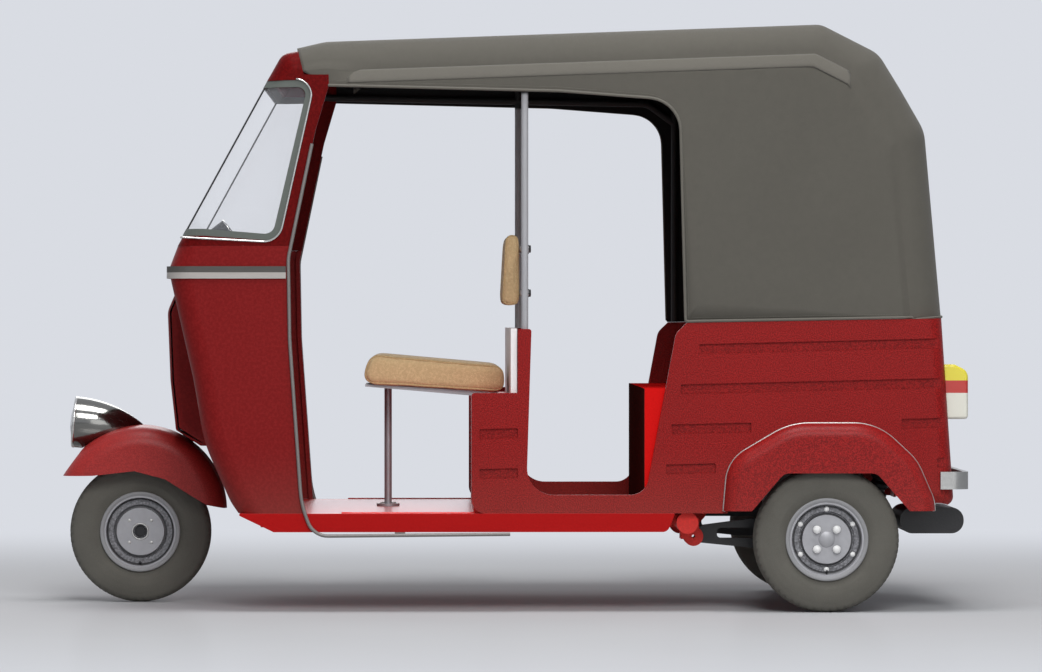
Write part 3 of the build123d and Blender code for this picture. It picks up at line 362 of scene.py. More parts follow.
# Each row: recipe, name of the finish, the CAD nodes that wear it, then the recipe's own values
FINISHES = (
    (pressed_red, "rear_red", "body_side_left body_side_right rear_panel engine_lid",
     BODY_RED, SHADOW_RED, 330.0, 0.0009),
    (pressed_red, "cowl_red", "front_cowl nose_cover", COWL_RED, (0.185, 0.007, 0.007), 120.0, 0.0003),
    # Painted shade: the windscreen header wears a darker copy of the body red for the way it faces the
    # light.
    (pressed_red, "header_red", "windscreen_frame",
     (0.15, 0.006, 0.006), (0.1, 0.004, 0.004), 120.0, 0.0003, 0.12, 0.04),
    (pressed_red, "gloss_red", "chassis_frame driver_seat_base",
     GLOSS_RED, (0.6, 0.008, 0.008), 160.0, 0.0003, 0.2),
    (sill_red, "sill_red", "floor_pan"),
    (pressed_red, "fender_red", "fender_left fender_right", BODY_RED, SHADOW_RED, 330.0, 0.0005, 0.06, 0.16),
    (seat_box_red, "seat_box_red", "passenger_seat_base"),
    (pressed_red, "guard_red", "front_mudguard",
     (0.43, 0.028, 0.025), (0.27, 0.015, 0.014), 300.0, 0.0005, 0.06, 0.3),
    (plated, "chrome", "", (0.6, 0.59, 0.57), 0.1),
    (plated, "lamp_chrome", "headlamp_shell", (0.22, 0.217, 0.205), 0.07),
    (brushed, "rim_edge", "", (0.34, 0.34, 0.35), 0.5, 0.2),
    (plated, "dull_chrome", "rear_bumper", (0.4, 0.4, 0.39), 0.26),
    (brushed, "tube_steel", "driver_seat_post", (0.44, 0.44, 0.46), 0.34),
    (bow_steel, "bow_steel", "canopy_frame canopy_middle_bow canopy_rear_bow"),
    (brushed, "bead_steel", "entry_beads", (0.24, 0.225, 0.215), 0.36, 0.4),
    (brushed, "zinc", "", (0.62, 0.62, 0.6), 0.3, 0.7),
    (moulded, "cast_alloy", "engine_block", (0.2, 0.2, 0.205), 0.42, 240.0, 0.001),
    (moulded, "black_enamel",
     "trailing_arms rear_dampers silencer steering_fork front_damper drive_shaft_left drive_shaft_right",
     (0.02, 0.02, 0.022), 0.3, 160.0, 0.0003, 0.6),
    (moulded, "black_plastic", "dashboard handlebar", (0.028, 0.028, 0.03), 0.48),
    (moulded, "seal_rubber", "windscreen_gasket", (0.12, 0.135, 0.12), 0.46, 500.0),
    (moulded, "white_board", "partition_panel", (0.93, 0.9, 0.9), 0.42, 200.0, 0.0003, 0.95),
    (woven, "tan_weave", "driver_cushion driver_backrest passenger_cushion passenger_backrest",
     (0.96, 0.72, 0.41), (0.58, 0.38, 0.18), 0.003, 0.0009, 0.25),
    (woven, "tan_piping", "", (0.78, 0.56, 0.3), (0.46, 0.3, 0.14), 0.0026, 0.0006, 0.3),
    (coated_canvas, "canvas", "canopy", (0.125, 0.117, 0.098), (0.082, 0.076, 0.064)),
    # Paler canvas for the hems; on the shoulder strips the paler tone is painted highlight.
    (coated_canvas, "canvas_strip", "", (0.16, 0.15, 0.128), (0.12, 0.112, 0.095)),
    # Painted shade: the canopy's underside is coloured near-black as the shade inside it.
    (coated_canvas, "canvas_lining", "", (0.011, 0.011, 0.011), (0.006, 0.006, 0.006)),
    (moulded, "thread", "", (0.2, 0.19, 0.16), 0.7, 1500.0),
    (tyre_rubber, "tyre_rubber", "front_tyre rear_tyre_left rear_tyre_right"),
    (wheel_paint, "front_wheel", "front_rim", FRONT_AXLE, 0.076, 0.096),
    (wheel_paint, "rear_wheel", "rear_rim_left rear_rim_right", REAR_AXLES["left"], 0.074, 0.094),
    (lamp_lens, "lamp_lens", "tail_lamps"),
    (clear_glass, "clear_glass", "windscreen_glass", (0.8, 0.83, 0.9), 0.045),
    (clear_glass, "lamp_glass", "headlamp_lens", (0.62, 0.64, 0.64), 0.38, 0.0006),
    (two_tone_trim, "two_tone_trim", "waist_trim"),
    (moulded, "white_cap", "", (0.86, 0.86, 0.85), 0.3, 200.0, 0.0002, 0.92),
    (moulded, "warm_bulb", "", (0.85, 0.82, 0.7), 0.15, 100.0, 0.0001, 0.9),
)

finishes = {}
for recipe, finish_name, node_names, *values in FINISHES:
    finishes[finish_name] = recipe(finish_name, *values)
    for node_name in node_names.split():
        mesh = nodes[node_name].data
        mesh.materials.clear()
        mesh.materials.append(finishes[finish_name].material)


# Surfaces worked out as arrays


def add_object(name, data):
    made = bpy.data.objects.new(name, data)
    scene.collection.objects.link(made)
    return made


def make_piece(name, points, faces, finish, body, smooth=True):
    """A mesh that rides on one body, from arrays of points and faces."""
    mesh = bpy.data.meshes.new(name)
    mesh.from_pydata(points.reshape(-1, 3).tolist(), [], faces.tolist())
    piece = add_object(name, mesh)
    mesh.materials.append(finishes[finish].material)
    mesh.polygons.foreach_set("use_smooth", np.full(len(mesh.polygons), smooth))
    clean(mesh)
    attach(piece, body)
    return piece


def clean(mesh):
    """Merges doubles, drops faces without area and turns every face outward."""
    shape = bmesh.new()
    shape.from_mesh(mesh)
    bmesh.ops.remove_doubles(shape, verts=shape.verts, dist=1e-6)
    bmesh.ops.dissolve_degenerate(shape, edges=shape.edges, dist=1e-7)
    bmesh.ops.recalc_face_normals(shape, faces=shape.faces)
    shape.to_mesh(mesh)
    shape.free()


def grid_faces(shape, around=False, along=False):
    """Quads of stacked grids of points. around closes the columns into a ring, and along closes the rows."""
    count, rows, columns = shape
    index = np.arange(count * rows * columns).reshape(shape)
    if around:
        index = np.concatenate((index, index[:, :, :1]), axis=2)
    if along:
        index = np.concatenate((index, index[:, :1]), axis=1)
    corners = (index[:, :-1, :-1], index[:, 1:, :-1], index[:, 1:, 1:], index[:, :-1, 1:])
    return np.stack(corners, axis=-1).reshape(-1, 4)


def surface(name, grid, finish, body, around=False, along=False, smooth=True):
    """A piece through a grid of points, or through a stack of such grids."""
    stack = grid if grid.ndim == 4 else grid[None]
    return make_piece(name, stack, grid_faces(stack.shape[:3], around, along), finish, body, smooth)


def mm(*rows):
    """Rows given in millimetres, as an array in metres."""
    return np.array(rows, float) / 1000


def unit(vectors):
    return vectors / np.linalg.norm(vectors, axis=-1, keepdims=True)


def ramp(values, start, width):
    """0 before start, 1 a width further on. A negative width ramps the other way."""
    return np.clip((values - start) / width, 0, 1)


def bell(values, centre, width):
    return np.exp(-((values - centre) / width) ** 2)


def turned_frame(direction, helper):
    """A unit axis and two directions square to it."""
    axis = unit(np.array(direction, float))
    first = unit(np.cross(axis, np.array(helper, float)))
    return axis, first, np.cross(axis, first)


def full_turn(count):
    return np.linspace(0, 2 * pi, count, endpoint=False)


def rounded(rows, arc_steps=9):
    """A line in metres through (x, z, radius) rows in millimetres, each corner a tangent arc."""
    corners = np.array([row[:2] for row in rows]) / 1000
    line = [corners[:1]]
    for row, before, corner, after in zip(rows[1:-1], corners, corners[1:], corners[2:]):
        radius = row[2]
        back, ahead = unit(before - corner), unit(after - corner)
        half = np.arccos(np.clip(back @ ahead, -1, 1)) / 2
        centre = corner + unit(back + ahead) * radius / 1000 / sin(half)
        share = np.linspace(-1, 1, arc_steps)[:, None] * (pi / 2 - half)
        inward = unit(corner - centre)
        across = unit(ahead - back)
        arc = centre + radius / 1000 * (np.cos(share) * inward + np.sin(share) * across)
        line.append(arc if radius else corner[None])
    line.append(corners[-1:])
    return np.concatenate(line)


def spaced_pair(line, partner, count):
    """Two polylines with matching points, both cut at equal distances along the first."""
    steps = np.linalg.norm(np.diff(line, axis=0), axis=1)
    length = np.concatenate(([0], np.cumsum(steps)))
    wanted = np.linspace(0, length[-1], count)

    def cut(run):
        return np.stack([np.interp(wanted, length, column) for column in run.T], axis=1)

    return cut(line), cut(partner)


def spaced(line, count):
    """A polyline measured out again into points at equal distances."""
    return spaced_pair(line, line, count)[0]


def softened(line, passes=2):
    """A polyline with its corners cut a quarter of the way along every run, once each pass."""
    for _ in range(passes):
        start, end = line[:-1], line[1:]
        cut = np.stack((0.75 * start + 0.25 * end, 0.25 * start + 0.75 * end), axis=1)
        line = np.concatenate((line[:1], cut.reshape(-1, 3), line[-1:]))
    return line


def tube_grid(line, radius, sides, reference, closed):
    """A circle carried along a line, square to it, closed at both ends by a shrunk ring and a point."""
    if closed:
        along = unit(np.roll(line, -1, axis=0) - np.roll(line, 1, axis=0))
    else:
        along = unit(np.gradient(line, axis=0))
    first = unit(np.cross(along, np.array(reference)))
    second = np.cross(first, along)
    radii = np.broadcast_to(np.asarray(radius, float), (len(line),))
    if not closed:
        start, end = line[:1] - along[:1] * (radii[0] * 0.4), line[-1:] + along[-1:] * (radii[-1] * 0.4)
        line = np.concatenate((start, start, line, end, end))
        radii = np.concatenate(([0, radii[0] * 0.7], radii, [radii[-1] * 0.7, 0]))
        first, second = (np.pad(way, ((2, 2), (0, 0)), "edge") for way in (first, second))
    turn = full_turn(sides)[None, :, None]
    circle = np.cos(turn) * first[:, None] + np.sin(turn) * second[:, None]
    return line[:, None] + radii[:, None, None] * circle


def tube(name, line, radius, finish, body="chassis", sides=10, reference=(0, 1, 0), closed=False):
    return surface(name, tube_grid(line, radius, sides, reference, closed), finish, body, True, closed)


def turned_grid(profile, centre, direction, segments):
    """A profile of (radius, distance) rows turned about a line through a centre."""
    axis, first, second = turned_frame(direction, (0, 0, 1))
    turn = full_turn(segments)[None, :, None]
    rows = np.array(profile, float)
    radii, reach = rows[:, 0][:, None, None], rows[:, 1][:, None, None]
    return np.array(centre, float) + reach * axis + radii * (np.cos(turn) * first + np.sin(turn) * second)


def turned(name, profile, centre, direction, finish, body, segments, closed=False):
    return surface(name, turned_grid(profile, centre, direction, segments), finish, body, True, closed)


def ring_places(count, radius, centre):
    """Points spaced evenly on a circle in the XZ plane."""
    turn = 2 * pi * (np.arange(count) + 0.5) / count
    return np.array(centre) + radius * np.stack((np.cos(turn), 0 * turn, np.sin(turn)), axis=1)


def bolt_heads(name, places, direction, radius, finish, height, washer=1.45):
    """Six-sided heads on round washers. A flat's radius is 1 / cos of the turn from its middle."""
    axis, first, second = turned_frame(direction, (1, 0, 0) if direction[2] else (0, 0, 1))
    turn = full_turn(12)
    flat = 0.87 / np.cos(np.mod(turn, pi / 3) - pi / 6)
    rounds = np.ones(12)
    rows = [(0, -0.05, rounds), (washer, -0.05, rounds), (washer, 0.12, rounds), (1, 0.12, flat),
            (1, height, flat), (0.82, height + 0.1, rounds), (0, height + 0.1, rounds)]
    reach = np.array([far for size, far, form in rows])[:, None, None] * radius * axis
    radii = np.stack([size * form for size, far, form in rows])[:, :, None] * radius
    head = reach + radii * (np.cos(turn)[:, None] * first + np.sin(turn)[:, None] * second)
    stack = np.asarray(places, float)[:, None, None] + head[None]
    surface(name, stack, finish, "chassis", True, smooth=False)


def domes(name, places, direction, radius, finish, body, rise):
    """Round domed caps: a quarter circle turned about the direction, closed underneath."""
    turn = np.linspace(0, pi / 2, 6)
    profile = [(0, -0.1 * radius), (radius, -0.1 * radius)]
    profile += list(zip(radius * np.cos(turn), rise * radius * np.sin(turn)))
    cap = turned_grid(profile, (0, 0, 0), direction, 16)
    return surface(name, np.asarray(places, float)[:, None, None] + cap[None], finish, body, True)


def flipped(points):
    """The same points on the other side of the vehicle."""
    return points * np.array((1.0, -1.0, 1.0))


# Tyres: tread blocks outside, rings and a bead round the sides


TYRE_HALF = mm(
    (0, 209), (15, 208.9), (28, 207.4), (36, 204), (43, 196.5), (49, 180), (51.6, 160), (50.5, 142),
    (46.2, 129), (42.7, 122), (42.7, 106.4),
)
GROOVE_DEPTH = 0.0042
SIPE_DEPTH = 0.0024
SIDE_RINGS = (0.1262, 0.138, 0.171, 0.1905)


def tyre_grid(centre):
    """A tyre section turned about its axle, cut by four round grooves, slanted shoulder cuts and sipes."""
    side = spaced(TYRE_HALF, 30)
    section = np.concatenate((side[::-1] * (-1, 1), side[1:]))
    across, radius = section[:, 0][None], section[:, 1][None]
    turn = full_turn(336)[:, None]
    out = np.abs(across)
    crown = ramp(radius, 0.1985, 0.004)
    rounds = bell(out, 0.0135, 0.0022) + bell(out, 0.0285, 0.0018)
    slant = np.mod(turn * 56 / (2 * pi) + out * 20, 1)
    cuts = (slant < 0.22) * ramp(out, 0.029, 0.003)
    wiggle = np.mod(turn * 84 / (2 * pi) + np.sign(across) * 0.25, 1)
    sipes = (wiggle < 0.14) * np.clip(1 - np.abs(out - 0.021) / 0.006, 0, 1)
    depth = crown * (GROOVE_DEPTH * np.maximum(np.minimum(rounds, 1), cuts) + SIPE_DEPTH * sipes)
    rings = sum(bell(radius, at, 0.0011) for at in SIDE_RINGS)
    swell = 0.0007 * rings * (1 - crown) * np.sign(across)
    radius = radius - depth + 0 * turn
    across = across + swell + 0 * turn
    points = np.stack((radius * np.cos(turn), across, radius * np.sin(turn)), axis=2)
    return points + np.array(centre)


RIM_LIP = mm(
    (101.2, -10), (116.5, -1), (118.5, 1.5), (117.8, 3.2), (115, 4), (108.5, 2.8), (100, -6), (99.2, -10),
)
HUB_CAP = mm((0, -4), (22, -4), (23.2, 0.4), (21.5, 1.6), (0, 2.2))
HUB_EDGE = mm((21, -2), (25, -2), (25.6, 0.8), (24, 2.2), (21.6, 1.8), (20.8, 0))
VALVE = mm((94.5, 28), (93.5, 34), (91.5, 42), (90, 47))


def dress_wheel(body, centre, tyre_node, outer, driven):
    """The tyre, the rim's fittings and the valve. outer is the sign of Y that the wheel's face looks to."""
    tyre = surface(body + "_tread_and_sides", tyre_grid(centre), "tyre_rubber", body, True, True)
    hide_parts(tyre_node)
    direction = (0, outer, 0)
    x, y, z = centre
    face, disc = y + outer * 0.048, y + outer * 0.036
    turned(body + "_rim_lip", RIM_LIP, (x, face, z), direction, "rim_edge", body, 96, True)
    if driven:
        caps = ring_places(4, 0.04, (x, disc + outer * 0.0085, z))
        domes(body + "_nut_caps", caps, direction, 0.012, "white_cap", body, 0.75)
        studs = ring_places(6, 0.0865, (x, y + outer * 0.0302, z))
        domes(body + "_rim_studs", studs, direction, 0.0078, "white_cap", body, 0.8)
        turned(body + "_hub_cap", HUB_CAP, (x, disc, z), direction, "rear_wheel", body, 48)
    else:
        rivets = ring_places(4, 0.046, (x, disc, z))
        domes(body + "_disc_rivets", rivets, direction, 0.005, "zinc", body, 0.35)
        turned(body + "_hub_edge", HUB_EDGE, (x, disc, z), direction, "zinc", body, 48, True)
    down, out = VALVE.T
    line = np.stack((x + 0 * down, y + outer * out, z - down), axis=1)
    tube(body + "_valve", line, (0.0036, 0.0036, 0.003, 0.0034), "black_plastic", body, 12, (1.0, 0.0, 0.0))


# Canopy: one stretched sheet with chamfered shoulders, a raised side strip and a rolled hem

ROOF = [
    (-611, 1623, 0), (-530, 1642, 160), (896, 1693.3, 60), (1062, 1609, 80), (1194, 1380, 120),
    (1242, 842, 0),
]
DOOR = [
    (-574, 1539.5, 0), (-524, 1539.5, 0), (-524, 1504, 0), (144, 1488, 400), (486, 1462, 96), (502, 829, 0),
    (1150, 840.4, 0),
]
SHEET_HALF = 0.597
SHOULDER = 0.092
LEAN = 0.01
SHEET_THICKNESS = 0.0035
HEM_RADIUS = 0.0042


def canopy_sections(steps=230):
    """Matching points along the roof, the shoulder and the lower edge, for ribs from one to the next."""
    roof, shoulder = spaced_pair(rounded(ROOF), rounded(drawn_in(ROOF, 1000 * SHOULDER, 16)), steps)
    lower = rounded(DOOR)
    corner = np.argmin(np.abs(lower - np.array((0.502, 0.829))).sum(axis=1))
    front, hem = lower[:corner + 1], lower[corner:]
    peak = int(steps * 0.66)
    edge = np.concatenate((spaced(front, peak), spaced(hem, steps - peak + 1)[1:]))
    return roof, shoulder, edge


def drawn_in(rows, distance, least=0.0):
    """Rows of (x, z, radius) shifted to their right. Each corner moves along its bisector."""
    points = np.array([row[:2] for row in rows], float)
    runs = unit(np.diff(points, axis=0))
    normals = np.stack((runs[:, 1], -runs[:, 0]), axis=1)
    before = np.concatenate((normals[:1], normals))
    after = np.concatenate((normals, normals[-1:]))
    middle = unit(before + after)
    moved = points + distance * middle / (middle * before).sum(axis=1, keepdims=True)
    return [(x, z, max(row[2] - distance, least) if row[2] else 0) for (x, z), row in zip(moved, rows)]


def lean_in(depths):
    """How far the side leans in near its lower edge, from the depth along a rib."""
    return LEAN * (1 - ramp(depths, 0.004, 0.03))


def canopy_sheet():
    """Ribs from one lower edge up the side, over a rounded shoulder, across the roof and down again."""
    roof, shoulder, edge = canopy_sections()
    shoulder = roof + (shoulder - roof) * np.interp(roof[:, :1], (-0.61, -0.45), (0.8, 1.0))
    rise = np.linspace(0, 1, 26) ** 0.8
    side = edge[:, None] + (shoulder - edge)[:, None] * rise[None, :, None]
    span = np.linalg.norm(shoulder - edge, axis=1)[:, None]
    lean = lean_in((1 - rise)[None] * span) * np.interp(edge[:, :1], (-0.5, -0.42), (0.1, 1.0))
    flank = np.stack((side[:, :, 0], -(SHEET_HALF - lean), side[:, :, 1]), axis=2)
    turn = np.linspace(0, pi / 2, 10)[1:]
    inward, upward = 1 - np.cos(turn), np.sin(turn)
    over = shoulder[:, None] + (roof - shoulder)[:, None] * upward[None, :, None]
    y = np.broadcast_to(-(SHEET_HALF - LEAN - (SHOULDER - LEAN) * inward), over.shape[:2])
    bend = np.stack((over[:, :, 0], y, over[:, :, 1]), axis=2)
    inner = SHEET_HALF - SHOULDER
    flat = np.linspace(-inner, inner, 34)[1:-1]
    top = np.stack(np.broadcast_arrays(roof[:, :1], flat, roof[:, 1:]), axis=2)
    left = np.concatenate((flank, bend), axis=1)
    return sag(np.concatenate((left, top, flipped(left[:, ::-1])), axis=1))


def sag(sheet):
    """Dips the roof between the bows, lowers it to its shoulders, and creases the sides by slow waves."""
    x, y, z = np.moveaxis(sheet, 2, 0)
    out = np.abs(y)
    bays = np.interp(x, (-0.52, -0.24, 0.042, 0.283, 0.524, 0.707, 0.89), (0, 1, 0, 0.9, 0, 0.8, 0))
    roof = ramp(z, 1.5, 0.14) * ramp(out, 0.5, -0.2)
    crown = ramp(z, 1.5, 0.1) * np.clip(out / 0.45, 0, 1) ** 2
    creases = np.sin(9.0 * x + 4.0 * z) * np.sin(5.2 * z - 3.0 * x + 0.8) + 0.5 * np.sin(21.0 * x - 13.0 * z)
    wall = ramp(z, 1.5, -0.2) * ramp(z, 0.9, 0.1) * ramp(out, 0.5, 0.09)
    back = ramp(x, 1.05, 0.06) * ramp(out, 0.52, -0.1) * ramp(z, 0.9, 0.1)
    return np.stack((
        x - back * 0.003 * (1 + np.sin(8 * y + 6 * z)),
        y - np.sign(y) * wall * 0.0016 * (1.5 + creases),
        z - 0.005 * bays * roof - 0.0062 * crown,
    ), axis=2)


def dress_canopy():
    """The stretched sheet with its underside painted near-black as shade, in place of the CAD canopy."""
    grid = canopy_sheet()
    canopy = surface("canopy_sheet", grid, "canvas", "chassis")
    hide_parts("canopy")
    canopy.data.materials.append(finishes["canvas_lining"].material)
    wall = canopy.modifiers.new("wall", "SOLIDIFY")
    wall.thickness = SHEET_THICKNESS
    wall.offset = -1
    wall.material_offset = 1
    wall.use_quality_normals = True
    return grid


def dress_hem(grid):
    """A rolled hem on the sheet's lower edge, stitches above it and on each shoulder a strip painted paler
    as highlight.
    """
    edge = grid[:, 0]
    hem = spaced(edge[(edge[:, 0] > -0.5235) & (edge[:, 2] < 1.506)], 260)
    for side, line in (("left", hem + (0, -0.0015, 0.0035)), ("right", flipped(hem) + (0, 0.0015, 0.0035))):
        tube("canopy_hem_" + side, line, HEM_RADIUS, "canvas_strip")
    rear = spaced(grid[-1], 120) + (0.001, 0, 0.0035)
    tube("canopy_hem_rear", rear, HEM_RADIUS, "canvas_strip", reference=(1, 0, 0))
    seam = spaced(edge + 0.016 * unit(grid[:, 4] - edge), 520)[24:-6]
    seam = np.concatenate((seam, flipped(seam)))
    outward = np.sign(seam[:, 1:2]) * np.array((0, 1, 0))
    stitches("canopy_stitches", seam, outward, 0.0032)
    strip = shoulder_strip()
    surface("shoulder_strip_left", strip, "canvas_strip", "chassis")
    surface("shoulder_strip_right", flipped(strip), "canvas_strip", "chassis")


def copies(name, points, faces, finish, smooth=True):
    """One mesh of many small shapes of eight points each, all with the same faces."""
    first = 8 * np.arange(len(points))[:, None, None]
    make_piece(name, points, (faces[None] + first).reshape(-1, faces.shape[1]), finish, "chassis", smooth)


def stitches(name, places, outward, length):
    """Short raised threads, each a six-sided lozenge along the run of its row."""
    along = unit(np.gradient(places, axis=0))
    across = unit(np.cross(outward, along))
    shape = np.array(((-1, 0, 0), (-0.6, 1, 0.3), (0.6, 1, 0.3), (1, 0, 0), (0.6, -1, 0.3), (-0.6, -1, 0.3)))
    ways = ((length / 2, along), (0.0005, across), (0.0006, outward))
    base = places[:, None] + sum(
        shape[None, :, column:column + 1] * size * way[:, None] for column, (size, way) in enumerate(ways)
    )
    peak = (places + outward * 0.0007)[:, None]
    foot = (places - outward * 0.0006)[:, None]
    ring = np.arange(6)
    upper = np.stack((ring, np.roll(ring, -1), np.full(6, 6)), axis=1)
    lower = np.stack((np.roll(ring, -1), ring, np.full(6, 7)), axis=1)
    copies(name, np.concatenate((base, peak, foot), axis=1), np.concatenate((upper, lower)), "thread")


def shoulder_strip():
    """A band sewn over the chamfer below the shoulder, bulged a little."""
    depths = np.linspace(0.001, 0.04, 9)
    rows = []
    for depth in depths:
        line = spaced_pair(rounded(ROOF), rounded(drawn_in(ROOF, 1000 * (SHOULDER + depth), 16)), 400)[1]
        rows.append(spaced(line[(line[:, 0] > -0.47) & (line[:, 0] < 0.975)], 120))
    flat = np.stack(rows, axis=1)
    bulge = 0.0022 * np.sin(np.linspace(0, pi, 9)) ** 0.5
    y = np.broadcast_to(-(0.5968 - lean_in(depths) + bulge), flat.shape[:2])
    front = np.stack((flat[:, :, 0], y, flat[:, :, 1]), axis=2)
    back = front[:, 1:-1][:, ::-1] + (0, SHEET_THICKNESS, 0)
    ring = np.concatenate((front, back), axis=1)
    ends = [ring[index].mean(axis=0) + 0 * ring[index] for index in (0, -1)]
    return np.concatenate((ends[0][None], ring, ends[1][None]))[:, list(range(ring.shape[1])) + [0]]


# Cushions: each CAD cushion blown up a little by cloth pressure, with piping laid on its edges

PIPING_RADIUS = 0.0032
SWELL_FRAMES = 20

# Each row: name, CAD node, draw-in, cap and voxel in metres, then the piping's half distance and outline
CUSHIONS = (
    ("driver_saddle", "driver_cushion", (0.004, 0.004, 0.004), 0.006, 0.0065,
     0.206, [(-436, 652, 18), (-408, 734, 22), (-8, 697, 20), (-8, 628, 14)]),
    ("driver_back_pad", "driver_backrest", (0.001, 0.004, 0.002), 0.004, 0.006,
     0.208, [(-15, 884, 8), (-4, 1084, 10), (26, 1082, 8), (27, 882, 8)]),
    ("bench_pad", "passenger_cushion", (0.008, 0.01, 0.008), 0.012, 0.01,
     0.546, [(490, 650, 14), (484, 730, 24), (908, 720, 20), (900, 650, 14)]),
    ("bench_back_pad", "passenger_backrest", (0.006, 0.01, 0.006), 0.01, 0.01,
     0.53, [(866, 736, 14), (944, 1152, 24), (1012, 1146, 18), (952, 812, 6), (938, 736, 6)]),
)


def padded_form(name, node, shrink, cap, voxel):
    """The CAD cushion drawn in, remeshed and swollen by pressure up to a cap."""
    source = nodes[node].data.copy()
    piece = add_object(name, source)
    clean(source)
    low, high = (np.array(corner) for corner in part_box(node))
    centre, half = (low + high) / 2, (high - low) / 2
    flat = read_points(source)
    write_points(source, centre + (flat - centre) * (1 - shrink / half))
    remesh = piece.modifiers.new("even", "REMESH")
    remesh.mode = "VOXEL"
    remesh.voxel_size = voxel
    apply_modifiers(piece)
    swell(piece, cap)
    smooth = piece.modifiers.new("soft", "SMOOTH")
    smooth.factor = 0.5
    smooth.iterations = 6
    apply_modifiers(piece)
    piece.data.materials.clear()
    piece.data.materials.append(finishes["tan_weave"].material)
    piece.data.polygons.foreach_set("use_smooth", np.full(len(piece.data.polygons), True))
    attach(piece, "chassis")
    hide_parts(node)
    return piece


def read_points(mesh):
    points = np.empty(len(mesh.vertices) * 3)
    mesh.vertices.foreach_get("co", points)
    return points.reshape(-1, 3)


def write_points(mesh, points):
    mesh.vertices.foreach_set("co", points.reshape(-1))
    mesh.update()


def apply_modifiers(piece):
    """Replaces the piece's mesh by what its modifiers make of it."""
    shown = piece.evaluated_get(bpy.context.evaluated_depsgraph_get())
    made = bpy.data.meshes.new_from_object(shown)
    piece.modifiers.clear()
    piece.data = made


def swell(piece, cap):
    """Some frames of cloth under pressure, then each point's move cut to the cap."""
    before = read_points(piece.data)
    cloth = piece.modifiers.new("cloth", "CLOTH")
    cloth.settings.quality = 4
    cloth.settings.use_pressure = True
    cloth.settings.uniform_pressure_force = 4.0
    cloth.settings.effector_weights.gravity = 0.0
    cloth.point_cache.frame_start = 1
    cloth.point_cache.frame_end = SWELL_FRAMES
    for step in range(1, SWELL_FRAMES + 1):
        scene.frame_set(step)
    apply_modifiers(piece)
    scene.frame_set(1)
    moved = read_points(piece.data) - before
    reach = np.linalg.norm(moved, axis=1, keepdims=True)
    write_points(piece.data, before + moved * np.minimum(1, cap / np.maximum(reach, 1e-9)))


def laid_on(piece, line, lift):
    """A line laid on the nearest places of a piece and lifted off its surface."""
    mesh = piece.data
    tree = BVHTree.FromPolygons([v.co for v in mesh.vertices], [p.vertices for p in mesh.polygons])
    found = [tree.find_nearest(point) for point in line.tolist()]
    return np.array([tuple(spot + normal * lift) for spot, normal, *_ in found])


def piping(piece, side, outline, y):
    """A welt round one end of a cushion, laid on the swollen cover."""
    ring = spaced(rounded([*outline, outline[0]], 7), 150)[:-1]
    line = np.stack((ring[:, 0], np.full(len(ring), y), ring[:, 1]), axis=1)
    line = laid_on(piece, line, PIPING_RADIUS * 0.35)
    for _ in range(6):
        line = 0.5 * line + 0.25 * (np.roll(line, 1, axis=0) + np.roll(line, -1, axis=0))
    tube(piece.name + "_piping_" + side, line, PIPING_RADIUS, "tan_piping", closed=True)


def dress_seats():
    """The four cushions and their piping."""
    pieces = [padded_form(*row[:5]) for row in CUSHIONS]
    for piece, (*_, half, outline) in zip(pieces, CUSHIONS):
        piping(piece, "left", outline, -half)
        piping(piece, "right", outline, half)


# Fittings


ARCH = [
    (612, 291, 0), (624, 434, 110), (802, 539, 200), (1048, 539, 170), (1162, 433, 150), (1211.5, 319, 100),
    (1212.7, 291, 0),
]
GLASS_EDGE = [(-941, 1073, 0), (-661, 1058, 54), (-556.5, 1526, 46), (-610, 1525.4, 0)]
HEAD_ANGLE = radians(25)
HEAD_X, HEAD_Z = -0.947, 0.488
BAR_ALONG = 0.484


def side_line(rows, y, count):
    """A rounded line in the XZ plane, set at a distance y."""
    flat = spaced(rounded(rows), count)
    return np.stack((flat[:, 0], np.full(count, y), flat[:, 1]), axis=1)


def dress_body():
    """Beads over the rear wheels and along the glass, pane seams, bolts, and the lips of the floor."""
    for side, sign in (("left", -1), ("right", 1)):
        tube("fender_bead_" + side, side_line(ARCH, sign * 0.6035, 120), 0.0052, "zinc", "chassis", 12)
        tube("glass_bead_" + side, side_line(GLASS_EDGE, sign * 0.6005, 90), 0.0032, "chrome")
        for part, y, radius in (("outer", 0.543, 0.0026), ("inner", 0.556, 0.0016)):
            seam = np.linspace((-0.932, sign * y, 1.083), (-0.693, sign * y, 1.519), 30)
            tube("pane_seam_" + part + "_" + side, seam, radius, "black_plastic")
    bumper = [(1.3138, y, 0.377) for y in (-0.4, -0.36, 0.36, 0.4)]
    bolt_heads("bumper_bolts", bumper, (1, 0, 0), 0.0085, "zinc", 0.5)
    rear = [(1.238 + (0.841 - 0.822) * 0.067, y, 0.822) for y in (-0.5, 0.5, -0.18, 0.18)]
    bolt_heads("rear_panel_bolts", rear, (1, 0, 0), 0.0065, "dull_chrome", 0.5)
    knobs = [(0.055, y, z) for z in (1.045, 0.915) for y in (-0.15, 0.15)]
    bolt_heads("cross_bar_knobs", knobs, (1, 0, 0), 0.0125, "black_plastic", 0.9)
    feet = [(-0.354 + 0.024 * cos(turn), 0.024 * sin(turn), 0.2912) for turn in (0.6, 2.2, 3.8, 5.4)]
    bolt_heads("seat_post_bolts", feet, (0, 0, 1), 0.005, "zinc", 0.6)
    lip = spaced(np.array(((-0.56, -0.575, 0.2838), (0.46, -0.575, 0.2838))), 40)[3:19]
    for side, line in (("left", lip), ("right", flipped(lip))):
        tube("floor_lip_" + side, line, 0.003, "sill_red", reference=(0, 0, 1))


LAMP_TILT = radians(5)
LAMP_CENTRE = (-1.281, 0.0, 0.533)
LAMP_RIM = mm((70, 0.5), (74.2, -3), (76.8, -0.5), (77.2, 3.5), (75, 6.6), (71.2, 6), (69.8, 3))
LAMP_BULB = mm((0, -44), (9, -44), (9, -34), (7, -31), (7.8, -24), (6.2, -17), (0, -14))


